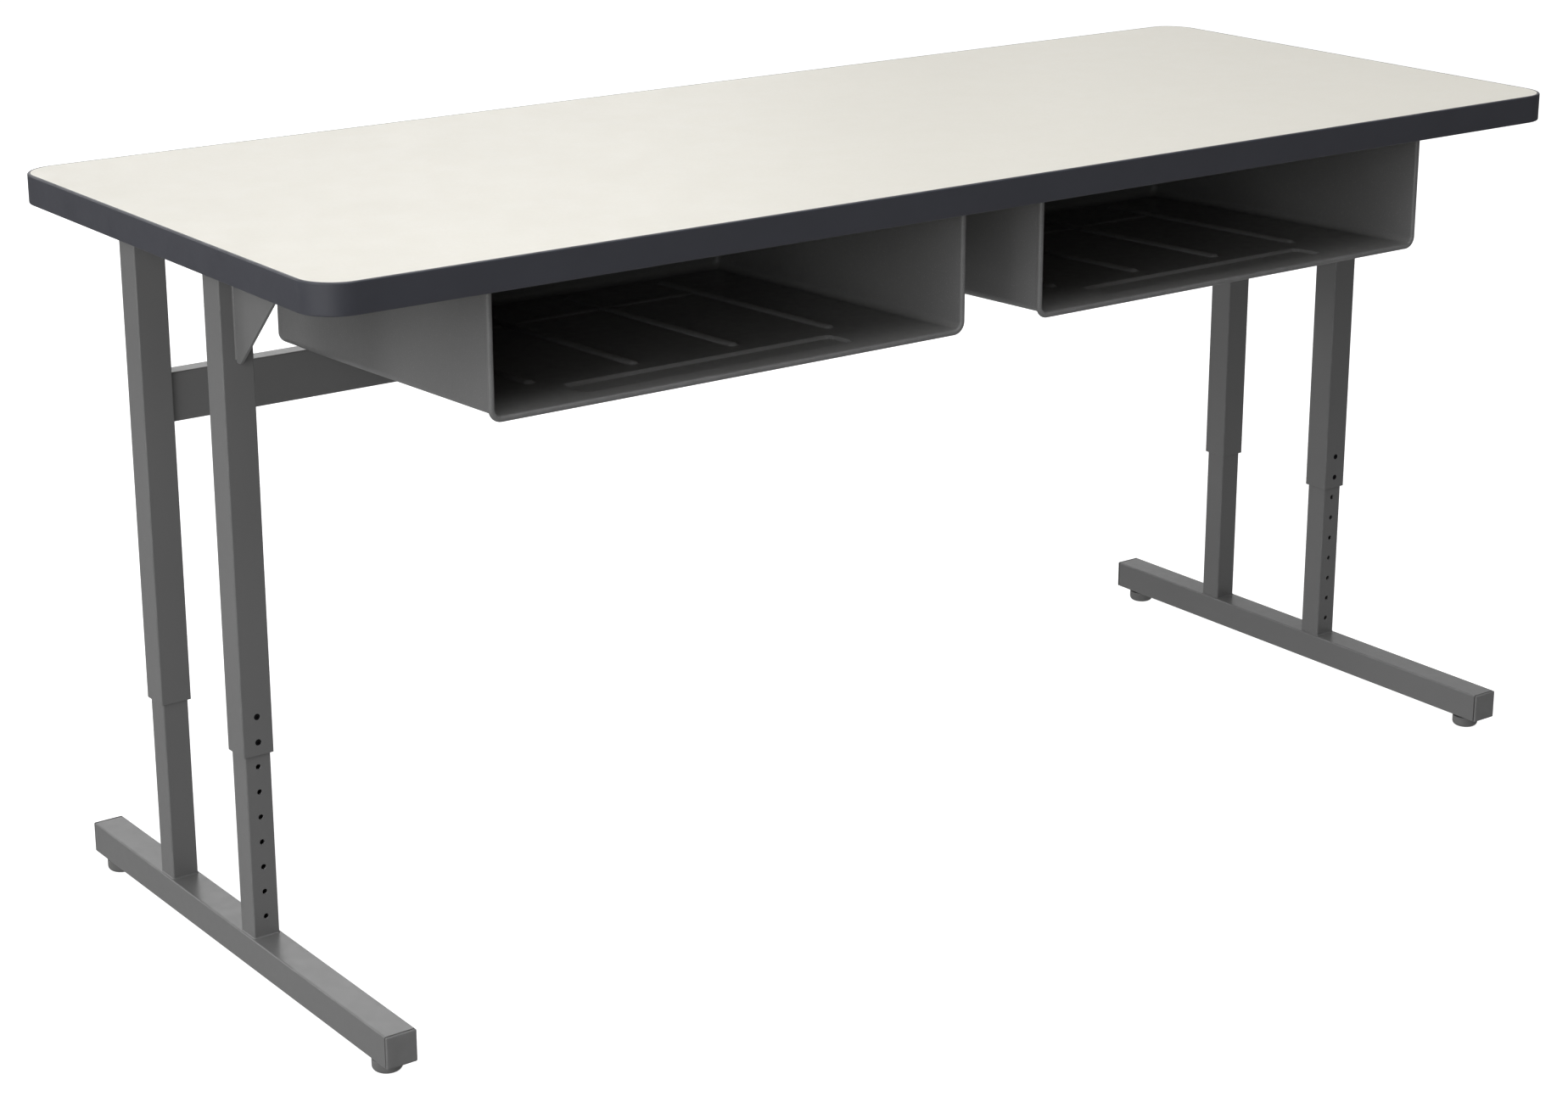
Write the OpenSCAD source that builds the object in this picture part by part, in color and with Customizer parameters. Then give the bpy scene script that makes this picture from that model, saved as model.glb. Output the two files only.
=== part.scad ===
// Two-place school desk with a book box at each seat, on two height-set T legs.
// Origin: middle of the worktop, on the floor. X runs along the desk, the seats face -Y, Z is up.

/* [Worktop] */
// Length of the worktop
top_l = 1524; // [1400:1:1700]
// Width of the worktop, front to back
top_w = 606; // [590:1:640]
// Whole thickness of the worktop
top_t = 29.2; // [26:0.2:34]
// Corner radius of the worktop in plan
top_corner_r = 38; // [20:1:60]
// Thickness of the moulded edge band
band_t = 3; // [2:0.5:5]
// Thickness of the laminate face
laminate_t = 0.9; // [0.6:0.1:1.4]
// Thickness of the backing sheet under the core
backer_t = 0.7; // [0.5:0.1:1.2]

/* [Height setting] */
// Adjusting holes that show below each upright
notch = 7; // [0:1:8]
// Distance between adjusting holes
hole_pitch = 25.4; // [20:0.1:25.4]
// Adjusting holes in each leg tube
hole_count = 10; // [10:1:11]

/* [Leg frames] */
// Distance of each leg frame from the middle of the desk
leg_x = 712.6; // [700:0.2:725]
// Place of the front uprights, front to back
front_leg_y = -38.6; // [-50:0.2:-30]
// Distance between the front and rear uprights
leg_gap_y = 171.8; // [150:0.2:190]
// Side of the square upright tube
upright_s = 31.75; // [31:0.05:33]
// Wall of the upright tube
upright_wall = 1.65; // [1.2:0.05:1.7]
// Length of the upright tube
upright_l = 470; // [460:1:500]
// Side of the square leg tube that slides in the upright
leg_s = 26.7; // [25:0.1:26.8]
// Wall of the leg tube
leg_wall = 1.65; // [1.2:0.05:2]
// Thickness of the strap welded on top of the uprights
rail_t = 4.8; // [3:0.1:6]
// Length of that strap
rail_l = 470; // [460:1:520]
// Height of the beam between the two leg frames
beam_h = 48.6; // [40:0.2:60]
// Thickness of the beam
beam_t = 20; // [16:0.5:25]
// Distance from the worktop's underside down to the beam
beam_drop = 145.8; // [140:0.2:160]

/* [Feet] */
// Side of the square foot tube
foot_s = 31.75; // [30:0.05:35]
// Length of the foot tube
foot_l = 600; // [580:1:620]
// Place of the foot's middle, front to back
foot_y = -3; // [-6:0.5:6]
// Height of the foot's underside above the floor
foot_z = 14.1; // [13.5:0.1:18]
// Distance between the front and rear glides
glide_pitch_y = 550; // [500:1:555]
// Radius of a glide
glide_r = 14.3; // [12:0.1:16]

/* [Book boxes] */
// Width of a book box over its rolled front edge
box_w = 537; // [500:1:540]
// Distance of each book box's middle from the middle of the desk
box_x = 315.1; // [314:0.1:318]
// Place of the book boxes' front, from the middle of the worktop
box_front_y = -275.3; // [-280:0.1:-270]
// Depth of a book box, front to back
box_l = 406.8; // [380:0.2:407]
// Height of a book box at its front, over its rolled edge
box_h = 124.8; // [110:0.2:130]
// Sheet thickness of a book box
box_wall = 1.2; // [0.9:0.1:1.5]
// Fall of the floor towards the back, in degrees
box_slope = 2.15; // [0:0.05:2.5]

/* [Hidden] */
eps = 0.01;
$fn = 48;
rear_leg_y = front_leg_y + leg_gap_y;

// Heights, from the floor up
foot_top_z = foot_z + foot_s;
first_hole_z = foot_top_z + 20.35;
lock_edge = 13;
upright_z = first_hole_z + notch * hole_pitch - lock_edge;
rail_z = upright_z + upright_l;
under_z = rail_z + rail_t;
top_z = under_z + top_t;
beam_z = under_z - beam_drop - beam_h;

// Worktop layers
core_l = top_l - 2 * band_t;
core_w = top_w - 2 * band_t;
core_corner_r = top_corner_r - band_t;
core_z = under_z + backer_t;
core_t = top_t - backer_t - laminate_t;
spine_t = 2;
spine_w = 10;
spine_gap = 0.3;
spine_z = under_z + top_t / 2 - spine_t / 2;

// Tubes and the plastic liners between them
tube_corner_r = 2.4;
leg_corner_r = 2;
upright_bore = upright_s - 2 * upright_wall;
liner_play = 0.05;
liner_slip = 0.25;
liner_l = 45;
liner_inset = 1;
leg_l = first_hole_z + (hole_count - 0.5) * hole_pitch - foot_top_z;
leg_hole_r = 2.4;
foot_wall = 2;
beam_wall = 1.6;
upright_ys = [front_leg_y, rear_leg_y];

// Lock screws: a body in the upright's wall and a short dog point
lock_hole_r = 3.2;
lock_r = 3.15;
lock_dog_r = 2;
lock_recess = 0.15;
lock_tip_gap = 0.3;
lock_socket_r = 1.7;
lock_socket_l = 1;

// Gusset under the strap, in front of the front upright
gusset_t = 3.2;
gusset_z = under_z - 95.2;
gusset_nose = 7;

// Wood screws that hold the straps and the book boxes to the worktop
screw_r = 2.1;
screw_pilot_r = 2.2;
screw_l = 19;
screw_head_r = 4.6;
screw_head_t = 2.4;
rail_screw_ys = [-218, -178, 48, 218];

// Foot caps
cap_gap = 0.5;
cap_t = 2.9;
cap_boss_s = 29.6;
cap_plug_l = 18;
cap_play = 0.05;

// Glides and their nuts
glide_h = 12;
glide_round_r = 5;
stem_r = 4;
stem_play = 0.05;
stem_z = 3.5;
stem_l = 34;
nut_r = 7.5;
nut_t = 8;
foot_hole_r = 4.6;
glide_y_front = foot_y - glide_pitch_y / 2;
glide_y_rear = foot_y + glide_pitch_y / 2;

// Book box: rolled front edge, sloping floor, top flanges, beads and pencil tray
roll_w = 4.6;
roll_l = 5.6;
roll_corner_r = 12.7;
body_w = box_w - 2 * roll_w;
box_rear_y = box_front_y + box_l;
box_bottom_z = under_z - box_h;
body_front_z = box_bottom_z + roll_w;
body_rear_z = body_front_z - box_l * tan(box_slope);
flange_w = 14;
tray_l = 307;
tray_w = 40;
tray_depth = 5.5;
tray_corner_r = 10;
tray_from_front = 46;
bead_pitch = 114.6;
bead_r = 6.5;
bead_h = 4;
bead_start = 93;
bead_end = 375;
cross_bead_at = 314;
cross_bead_gap = 12;
cross_bead_r = 4.2;
cross_bead_h = 3;
box_screw_ys = [60, 205, 350];
box_screw_xs = [-160, 160];

// ---- Shared shapes ----

// A rectangle with round corners, centred
module round_rect(w, d, r) {
    square([w - 2 * r, d], center = true);
    square([w, d - 2 * r], center = true);
    for (sx = [-1, 1], sy = [-1, 1])
        translate([sx * (w / 2 - r), sy * (d / 2 - r)])
            circle(r);
}

// A slab with round corners standing on z = 0
module round_slab(w, d, h, r) {
    linear_extrude(height = h)
        round_rect(w, d, r);
}

// A square tube standing on z = 0
module square_tube(side, wall, l, r) {
    linear_extrude(height = l)
        difference() {
            round_rect(side, side, r);
            round_rect(side - 2 * wall, side - 2 * wall, max(r - wall, 0.5));
        }
}

// A short bore through the outer face of a leg at height z; face is -1 for the front, 1 for the back
module face_bore(r, half, depth, z, face) {
    translate([0, face * (half - depth), z])
        rotate([-90 * face, 0, 0])
            cylinder(h = depth + 1, r = r);
}

// Both of the places where a book box screw row runs, as [x, y] from the box's front middle
function box_screw_places() = concat(
    [for (sx = [-1, 1], y = box_screw_ys) [sx * (body_w / 2 + flange_w / 2), y]],
    [for (x = box_screw_xs) [x, box_l + flange_w / 2]]
);

// Every screw that goes up into the worktop, as [x, y]
function rail_screw_places() = [for (sx = [-1, 1], y = rail_screw_ys) [sx * leg_x, y]];
function all_box_screw_places() =
    [for (sx = [-1, 1], p = box_screw_places()) [sx * box_x + p[0], box_front_y + p[1]]];

// ---- Worktop ----

module screw_pilots() {
    for (p = concat(rail_screw_places(), all_box_screw_places()))
        translate([p[0], p[1], under_z - 1])
            cylinder(h = screw_l, r = screw_pilot_r);
}

module tabletop_core() {
    color("burlywood")
        difference() {
            translate([0, 0, core_z])
                round_slab(core_l, core_w, core_t, core_corner_r);
            difference() {
                translate([0, 0, spine_z - spine_gap])
                    round_slab(core_l + 1, core_w + 1, spine_t + 2 * spine_gap, core_corner_r);
                translate([0, 0, spine_z - 1])
                    round_slab(core_l - 2 * spine_w - 1, core_w - 2 * spine_w - 1, spine_t + 2,
                               core_corner_r - spine_w);
            }
            screw_pilots();
        }
}

module tabletop_laminate() {
    color("linen")
        translate([0, 0, top_z - laminate_t])
            round_slab(core_l, core_w, laminate_t, core_corner_r);
}

module tabletop_backer() {
    color("tan")
        difference() {
            translate([0, 0, under_z])
                round_slab(core_l, core_w, backer_t, core_corner_r);
            screw_pilots();
        }
}

module edge_band() {
    color("darkslategray")
        difference() {
            union() {
                translate([0, 0, under_z])
                    linear_extrude(height = top_t)
                        difference() {
                            round_rect(top_l, top_w, top_corner_r);
                            round_rect(core_l, core_w, core_corner_r);
                        }
                translate([0, 0, spine_z])
                    linear_extrude(height = spine_t)
                        difference() {
                            round_rect(top_l - 1, top_w - 1, top_corner_r - 0.5);
                            round_rect(core_l - 2 * spine_w, core_w - 2 * spine_w,
                                       core_corner_r - spine_w);
                        }
            }
        }
}

// ---- Upper frame ----

module upright(sx, y, face) {
    color("dimgray")
        translate([sx * leg_x, y, 0])
            difference() {
                translate([0, 0, upright_z])
                    square_tube(upright_s, upright_wall, upright_l, tube_corner_r);
                for (n = [0, 1])
                    face_bore(lock_hole_r, upright_s / 2, upright_wall + 1,
                              upright_z + lock_edge + n * hole_pitch, face);
            }
}

module top_rail(sx) {
    color("dimgray")
        difference() {
            translate([sx * leg_x - upright_s / 2, -rail_l / 2, rail_z])
                cube([upright_s, rail_l, rail_t]);
            for (y = rail_screw_ys)
                translate([sx * leg_x, y, rail_z - 1])
                    cylinder(h = rail_t + 2, r = screw_r + 0.3);
        }
}

module gusset(sx) {
    face_y = front_leg_y - upright_s / 2;
    rise = rail_z - gusset_z;
    color("dimgray")
        translate([sx * leg_x + gusset_t / 2, 0, 0])
            rotate([90, 0, -90])
                linear_extrude(height = gusset_t)
                    polygon([
                        [-face_y, gusset_z],
                        [-face_y + gusset_nose, gusset_z],
                        [-face_y + gusset_nose + rise, rail_z],
                        [-face_y, rail_z]
                    ]);
}

module stretcher_beam() {
    beam_l = 2 * leg_x - upright_s;
    color("dimgray")
        translate([-beam_l / 2, rear_leg_y, beam_z + beam_h / 2])
            rotate([90, 0, 90])
                linear_extrude(height = beam_l)
                    difference() {
                        round_rect(beam_t, beam_h, tube_corner_r);
                        round_rect(beam_t - 2 * beam_wall, beam_h - 2 * beam_wall, 0.8);
                    }
}

module liner(sx, y, face) {
    outer_s = upright_bore - 2 * liner_play;
    inner_s = leg_s + 2 * liner_slip;
    color("black")
        translate([sx * leg_x, y, 0])
            difference() {
                translate([0, 0, upright_z + liner_inset])
                    linear_extrude(height = liner_l)
                        difference() {
                            round_rect(outer_s, outer_s, 0.8);
                            round_rect(inner_s, inner_s, leg_corner_r);
                        }
                for (n = [0, 1])
                    face_bore(lock_hole_r, upright_s / 2, upright_wall + 2,
                              upright_z + lock_edge + n * hole_pitch, face);
            }
}

// Socket set screws, backed off so that their points stay clear of the leg tube
module lock_screw() {
    point_y = (upright_s - leg_s) / 2 - lock_tip_gap;
    difference() {
        union() {
            translate([0, lock_recess, 0])
                rotate([-90, 0, 0])
                    cylinder(h = upright_wall - lock_recess, r = lock_r);
            translate([0, upright_wall - eps, 0])
                rotate([-90, 0, 0])
                    cylinder(h = point_y - upright_wall + eps, r = lock_dog_r);
        }
        translate([0, lock_recess - 1, 0])
            rotate([-90, 0, 0])
                cylinder(h = lock_socket_l + 1, r = lock_socket_r, $fn = 6);
    }
}

module lock_screws(sx) {
    color("black")
        for (n = [0, 1]) {
            z = upright_z + lock_edge + n * hole_pitch;
            translate([sx * leg_x, front_leg_y - upright_s / 2, z])
                lock_screw();
            translate([sx * leg_x, rear_leg_y + upright_s / 2, z])
                rotate([0, 0, 180])
                    lock_screw();
        }
}

module wood_screw() {
    translate([0, 0, -screw_head_t])
        cylinder(h = screw_head_t, r = screw_head_r);
    translate([0, 0, -eps])
        cylinder(h = screw_l - 3, r = screw_r);
}

module top_rail_screws() {
    color("silver")
        for (p = rail_screw_places())
            translate([p[0], p[1], rail_z])
                wood_screw();
}

module book_box_screws() {
    color("silver")
        for (p = all_box_screw_places())
            translate([p[0], p[1], under_z - box_wall])
                wood_screw();
}

// ---- Book boxes ----

// The side outline of the box, y from its front and z from the floor, drawn inwards by a wall
module box_side_outline(inset, over) {
    polygon([
        [-over, body_front_z + inset + over * tan(box_slope)],
        [box_l - inset, body_front_z + inset - (box_l - inset) * tan(box_slope)],
        [box_l - inset, under_z + over],
        [-over, under_z + over]
    ]);
}

module box_prism(w, inset, over) {
    translate([-w / 2, 0, 0])
        rotate([90, 0, 90])
            linear_extrude(height = w)
                box_side_outline(inset, over);
}

// Places its children in the floor's own frame: front edge at y = 0, underside at z = 0
module on_box_floor() {
    translate([0, 0, body_front_z])
        rotate([-box_slope, 0, 0])
            children();
}

module bead_row(r, h, from, to) {
    intersection() {
        translate([0, 0, box_wall + h - r]) {
            translate([0, from, 0])
                rotate([-90, 0, 0])
                    cylinder(h = to - from, r = r);
            translate([0, from, 0])
                sphere(r);
            translate([0, to, 0])
                sphere(r);
        }
        translate([-r - 1, from - r - 1, box_wall / 2])
            cube([2 * r + 2, to - from + 2 * r + 2, r + h]);
    }
}

module floor_beads() {
    for (n = [-1.5 : 1 : 1.5])
        translate([n * bead_pitch, 0, 0])
            bead_row(bead_r, bead_h, bead_start, bead_end);
    for (n = [-1, 0, 1])
        translate([n * bead_pitch, cross_bead_at, 0])
            rotate([0, 0, 90])
                bead_row(cross_bead_r, cross_bead_h, cross_bead_gap - bead_pitch / 2,
                         bead_pitch / 2 - cross_bead_gap);
}

module rolled_edge() {
    flat_top = roll_corner_r + 1;
    difference() {
        translate([0, roll_l, 0])
            rotate([90, 0, 0])
                linear_extrude(height = roll_l)
                    union() {
                        translate([0, box_bottom_z + flat_top])
                            round_rect(box_w, 2 * flat_top, roll_corner_r);
                        translate([-box_w / 2, box_bottom_z + flat_top])
                            square([box_w, box_h - flat_top]);
                    }
        translate([-body_w / 2 + box_wall, -1, body_front_z + box_wall])
            cube([body_w - 2 * box_wall, roll_l + 2, box_h]);
    }
}

module top_flanges() {
    difference() {
        translate([-body_w / 2 - flange_w, roll_l, under_z - box_wall])
            cube([body_w + 2 * flange_w, box_l - roll_l + flange_w, box_wall]);
        translate([-body_w / 2 + box_wall, -1, under_z - box_wall - 1])
            cube([body_w - 2 * box_wall, box_l - box_wall + 1, box_wall + 2]);
        for (p = box_screw_places())
            translate([p[0], p[1], under_z - box_wall - 1])
                cylinder(h = box_wall + 2, r = screw_r + 0.3);
    }
}

module pencil_tray(grow, z0, z1) {
    translate([0, tray_from_front, z0])
        round_slab(tray_l + 2 * grow, tray_w + 2 * grow, z1 - z0, tray_corner_r + grow);
}

module book_box(sx) {
    color("dimgray")
        translate([sx * box_x, box_front_y, 0])
            difference() {
                union() {
                    difference() {
                        box_prism(body_w, 0, 0);
                        box_prism(body_w - 2 * box_wall, box_wall, 1);
                    }
                    rolled_edge();
                    top_flanges();
                    on_box_floor() {
                        pencil_tray(box_wall, -tray_depth, box_wall / 2);
                        floor_beads();
                    }
                }
                on_box_floor()
                    pencil_tray(0, box_wall - tray_depth, box_wall + 1);
            }
}

// ---- Lower legs ----

module leg_tube(sx, y, face) {
    color("dimgray")
        translate([sx * leg_x, y, foot_top_z])
            difference() {
                square_tube(leg_s, leg_wall, leg_l, leg_corner_r);
                for (n = [0 : hole_count - 1])
                    face_bore(leg_hole_r, leg_s / 2, leg_wall + 1,
                              first_hole_z - foot_top_z + n * hole_pitch, face);
            }
}

module foot(sx) {
    color("dimgray")
        difference() {
            translate([sx * leg_x, foot_y - foot_l / 2, foot_z + foot_s / 2])
                rotate([-90, 0, 0])
                    square_tube(foot_s, foot_wall, foot_l, tube_corner_r);
            for (y = [glide_y_front, glide_y_rear])
                translate([sx * leg_x, y, foot_z - 1])
                    cylinder(h = foot_wall + 2, r = foot_hole_r);
        }
}

module foot_cap(sx, end) {
    plug_s = foot_s - 2 * foot_wall - 2 * cap_play;
    color("black")
        translate([sx * leg_x, foot_y + end * foot_l / 2, foot_z + foot_s / 2])
            rotate([-90 * end, 0, 0]) {
                translate([0, 0, cap_gap])
                    round_slab(foot_s, foot_s, cap_t, tube_corner_r);
                round_slab(cap_boss_s, cap_boss_s, cap_gap + 1, 1.5);
                translate([0, 0, -cap_plug_l])
                    round_slab(plug_s, plug_s, cap_plug_l + 1, 0.8);
            }
}

module glide_nuts(sx) {
    color("silver")
        for (y = [glide_y_front, glide_y_rear])
            translate([sx * leg_x, y, foot_z + foot_wall])
                difference() {
                    cylinder(h = nut_t, r = nut_r, $fn = 6);
                    translate([0, 0, -1])
                        cylinder(h = nut_t + 2, r = stem_r + stem_play);
                }
}

module glide_stem(sx, y) {
    color("silver")
        translate([sx * leg_x, y, stem_z])
            cylinder(h = stem_l, r = stem_r);
}

module glide_base(sx, y) {
    color("gray")
        translate([sx * leg_x, y, 0])
            difference() {
                union() {
                    translate([0, 0, glide_round_r])
                        rotate_extrude()
                            translate([glide_r - glide_round_r, 0])
                                intersection() {
                                    circle(glide_round_r);
                                    translate([0, -glide_round_r])
                                        square([glide_round_r, glide_round_r + 1]);
                                }
                    cylinder(h = glide_round_r + 1, r = glide_r - glide_round_r + eps);
                    translate([0, 0, glide_round_r])
                        cylinder(h = glide_h - glide_round_r, r = glide_r);
                }
                translate([0, 0, stem_z])
                    cylinder(h = glide_h, r = stem_r + eps);
            }
}

// ---- The nodes ----

tabletop_core();
tabletop_laminate();
tabletop_backer();
edge_band();
upright(-1, front_leg_y, -1);  // left_front_upright
upright(-1, rear_leg_y, 1);  // left_rear_upright
upright(1, front_leg_y, -1);  // right_front_upright
upright(1, rear_leg_y, 1);  // right_rear_upright
top_rail(-1);  // left_top_rail
top_rail(1);  // right_top_rail
gusset(-1);  // left_gusset
gusset(1);  // right_gusset
stretcher_beam();
book_box(-1);  // left_book_box
book_box(1);  // right_book_box
book_box_screws();
top_rail_screws();
liner(-1, front_leg_y, -1);  // left_front_liner
liner(-1, rear_leg_y, 1);  // left_rear_liner
liner(1, front_leg_y, -1);  // right_front_liner
liner(1, rear_leg_y, 1);  // right_rear_liner
lock_screws(-1);  // left_lock_screws
lock_screws(1);  // right_lock_screws
leg_tube(-1, front_leg_y, -1);  // left_front_leg_tube
leg_tube(-1, rear_leg_y, 1);  // left_rear_leg_tube
leg_tube(1, front_leg_y, -1);  // right_front_leg_tube
leg_tube(1, rear_leg_y, 1);  // right_rear_leg_tube
foot(-1);  // left_foot
foot(1);  // right_foot
foot_cap(-1, -1);  // left_front_foot_cap
foot_cap(-1, 1);  // left_rear_foot_cap
foot_cap(1, -1);  // right_front_foot_cap
foot_cap(1, 1);  // right_rear_foot_cap
glide_nuts(-1);  // left_glide_nuts
glide_nuts(1);  // right_glide_nuts
glide_stem(-1, glide_y_front);  // left_front_glide_stem
glide_stem(-1, glide_y_rear);  // left_rear_glide_stem
glide_stem(1, glide_y_front);  // right_front_glide_stem
glide_stem(1, glide_y_rear);  // right_rear_glide_stem
glide_base(-1, glide_y_front);  // left_front_glide_base
glide_base(-1, glide_y_rear);  // left_rear_glide_base
glide_base(1, glide_y_front);  // right_front_glide_base
glide_base(1, glide_y_rear);  // right_rear_glide_base
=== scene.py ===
"""School desk with two open book boxes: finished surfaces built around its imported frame."""

from math import cos, hypot, pi, radians, sin, tan

import bmesh
import bpy
from bpy.props import FloatProperty, FloatVectorProperty, IntProperty, PointerProperty
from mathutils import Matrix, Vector


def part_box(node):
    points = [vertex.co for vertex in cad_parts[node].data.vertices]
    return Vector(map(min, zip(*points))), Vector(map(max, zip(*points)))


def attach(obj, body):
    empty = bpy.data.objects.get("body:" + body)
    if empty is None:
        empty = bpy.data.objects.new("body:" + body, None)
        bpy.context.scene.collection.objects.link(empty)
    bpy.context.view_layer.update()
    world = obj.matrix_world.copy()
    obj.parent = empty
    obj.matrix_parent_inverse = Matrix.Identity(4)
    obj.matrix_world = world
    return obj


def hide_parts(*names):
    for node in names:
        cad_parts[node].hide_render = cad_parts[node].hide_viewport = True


bl_info = {
    "name": "School Desk Finish",
    "version": (1, 0, 0),
    "blender": (4, 5, 0),
    "location": "View3D > Sidebar > School Desk",
    "description": "Builds the visible pieces and finishes of a school desk around its frame",
    "category": "Object",
}

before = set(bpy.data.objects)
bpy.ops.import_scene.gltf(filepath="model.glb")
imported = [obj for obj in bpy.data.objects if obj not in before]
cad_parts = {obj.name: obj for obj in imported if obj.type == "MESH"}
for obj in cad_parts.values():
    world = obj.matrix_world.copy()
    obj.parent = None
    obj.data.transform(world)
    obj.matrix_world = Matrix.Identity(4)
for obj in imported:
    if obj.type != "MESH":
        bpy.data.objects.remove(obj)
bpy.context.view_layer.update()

MM = 0.001
RIPPLE = 1.1 * MM  # step along a weld
WELD_SINK = 0.15  # how far a weld reaches into the steel, as a share of its size
WELD_WAVE = 0.10  # how much a weld's size swings along its ripples
WELD_TURN = 2.1  # turn of that swing in radians for each step
WELD_BULGE = 0.58  # how far a weld's face stands out, as a share of its size
PAST_WALL = 2 * MM  # how far a cutter runs on inside a tube
RUBBED = 0.8  # wear of an edge that hands and shoes rub
LONG_BEADS = (-1.5, -0.5, 0.5, 1.5)  # places in bead pitches from a box's middle
CROSS_BEADS = (-1, 0, 1)
FLOOR_R = 24.0
FLOOR_SWEEP_R = 14.0
SIDES = {"left": -1, "right": 1}
ENDS = {"front": -1, "rear": 1}


# ---- Settings that a user would change ----


def length(name, description, millimetres):
    """A length setting, given in millimetres."""
    return FloatProperty(
        name=name,
        description=description,
        default=millimetres * MM,
        min=0.0,
        precision=5,
        unit="LENGTH",
    )


def colour(name, description, rgb):
    """A colour setting."""
    return FloatVectorProperty(
        name=name, description=description, default=rgb, size=3, min=0.0, max=1.0, subtype="COLOR"
    )


def amount(name, description, value, high=10.0):
    """A plain number setting."""
    return FloatProperty(name=name, description=description, default=value, min=0.0, max=high)


def watts(name, description, value):
    """The power of a light."""
    return FloatProperty(name=name, description=description, default=value, min=0.0, unit="POWER")


class DeskTopSizes(bpy.types.PropertyGroup):
    """Sizes of the worktop's edge moulding."""

    corner_r: length("Corner radius", "Corner radius of the worktop in plan", 38)
    band: length("Band thickness", "Thickness of the moulding outside the core", 3)
    band_round: length("Band rounding", "Rounding of the moulding's upper and lower edge", 1.4)
    spine: length("Spine depth", "How far the barbed spine reaches into the core", 10)
    spine_half: length("Spine half thickness", "Half of the thickness of the spine", 0.65)
    barb_half: length("Barb half height", "Half of the height over the barbs", 1.15)
    barb_pitch: length("Barb pitch", "Distance between the barbs", 2.6)


class DeskTubeSizes(bpy.types.PropertyGroup):
    """Sizes of the steel tubes, straps and plates."""

    corner_r: length("Tube corner radius", "Outer corner radius of the wide tubes", 1.5)
    leg_corner_r: length("Leg corner radius", "Outer corner radius of the leg tubes", 1.5)
    upright_wall: length("Upright wall", "Wall thickness of the uprights", 1.65)
    leg_wall: length("Leg wall", "Wall thickness of the leg tubes", 1.65)
    foot_wall: length("Foot wall", "Wall thickness of the feet", 2)
    beam_wall: length("Beam wall", "Wall thickness of the beam", 1.6)
    cut_ease: length("Cut edge", "Chamfer left on a sawn tube end", 0.25)
    plate_ease: length("Plate edge", "Rounding of the edges of plates and straps", 0.5)
    hole_pitch: length("Hole pitch", "Distance between the height holes", 25.4)
    leg_hole_r: length("Height hole radius", "Radius of a height hole in a leg tube", 2.6)
    first_hole: length("First height hole", "Height of the lowest hole over the foot", 20.35)
    lock_hole_r: length("Lock hole radius", "Radius of a lock hole in an upright", 3.1)
    lock_edge: length("Lock hole edge distance", "First lock hole above the upright's end", 13)
    glide_hole_r: length("Glide hole radius", "Radius of a glide's hole under a foot", 4.6)
    hole_ease: length("Hole edge", "Width of the paint-filled chamfer on a hole", 0.15)
    gusset_nose: length("Gusset nose", "Flat at the lower end of a gusset", 7)
    weld: length("Weld size", "Leg length of a weld", 1.3)
    hole_count: IntProperty(
        name="Height holes", description="Holes in each leg tube", default=10, min=1
    )


class DeskBoxSizes(bpy.types.PropertyGroup):
    """Sizes of a pressed book box."""

    sheet: length("Sheet", "Thickness of the sheet", 1.2)
    flange: length("Flange", "Width of the flanges under the worktop", 14)
    flange_bend: length("Flange bend", "Bend radius between wall and flange", 1.8)
    corner_r: length("Corner radius", "Bend radius between floor and side wall", 7.5)
    rear_corner_r: length("Rear corner radius", "That radius close to the rear wall", 10)
    rear_round: length("Rear rounding", "Rounding between the floor, the sides and the rear", 8)
    roll_out: length("Roll height", "How far the rolled front edge stands out", 4.6)
    front_drop: length("Front drop", "From the flanges down to the rolled edge", 124.8)
    roll_depth: length("Roll depth", "Depth of the rolled front edge", 5.6)
    fall: FloatProperty(
        name="Floor fall",
        description="Fall of the floor towards the rear",
        default=radians(2.15),
        unit="ROTATION",
    )
    tray_l: length("Tray length", "Length of the pencil tray", 307)
    tray_w: length("Tray width", "Width of the pencil tray", 40)
    tray_depth: length("Tray depth", "Depth of the pencil tray", 3.2)
    tray_r: length("Tray corner", "Corner radius of the pencil tray", 10)
    tray_from_front: length("Tray place", "Middle of the tray from the front edge", 46)
    draft: length("Tray draft", "Width of the tray's sloping side", 0.8)
    bead_pitch: length("Bead pitch", "Distance between the stiffening beads", 114.6)
    bead_half: length("Bead half width", "Half of the width of a long bead", 6)
    bead_h: length("Bead height", "Height of a long bead", 3.2)
    bead_start: length("Bead start", "Front end of the long beads", 93)
    bead_end: length("Bead end", "Rear end of the long beads", 375)
    cross_at: length("Cross bead place", "Distance of the cross beads from the front", 314)
    cross_gap: length("Cross bead gap", "Gap between a cross bead's end and a long bead", 12)
    cross_half: length("Cross bead half width", "Half of the width of a cross bead", 4)
    cross_h: length("Cross bead height", "Height of a cross bead", 2)
    fine: length("Fine mesh step", "Mesh step where the floor is pressed", 1.15)
    coarse: length("Coarse mesh step", "Mesh step where the sheet is flat", 40)


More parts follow.
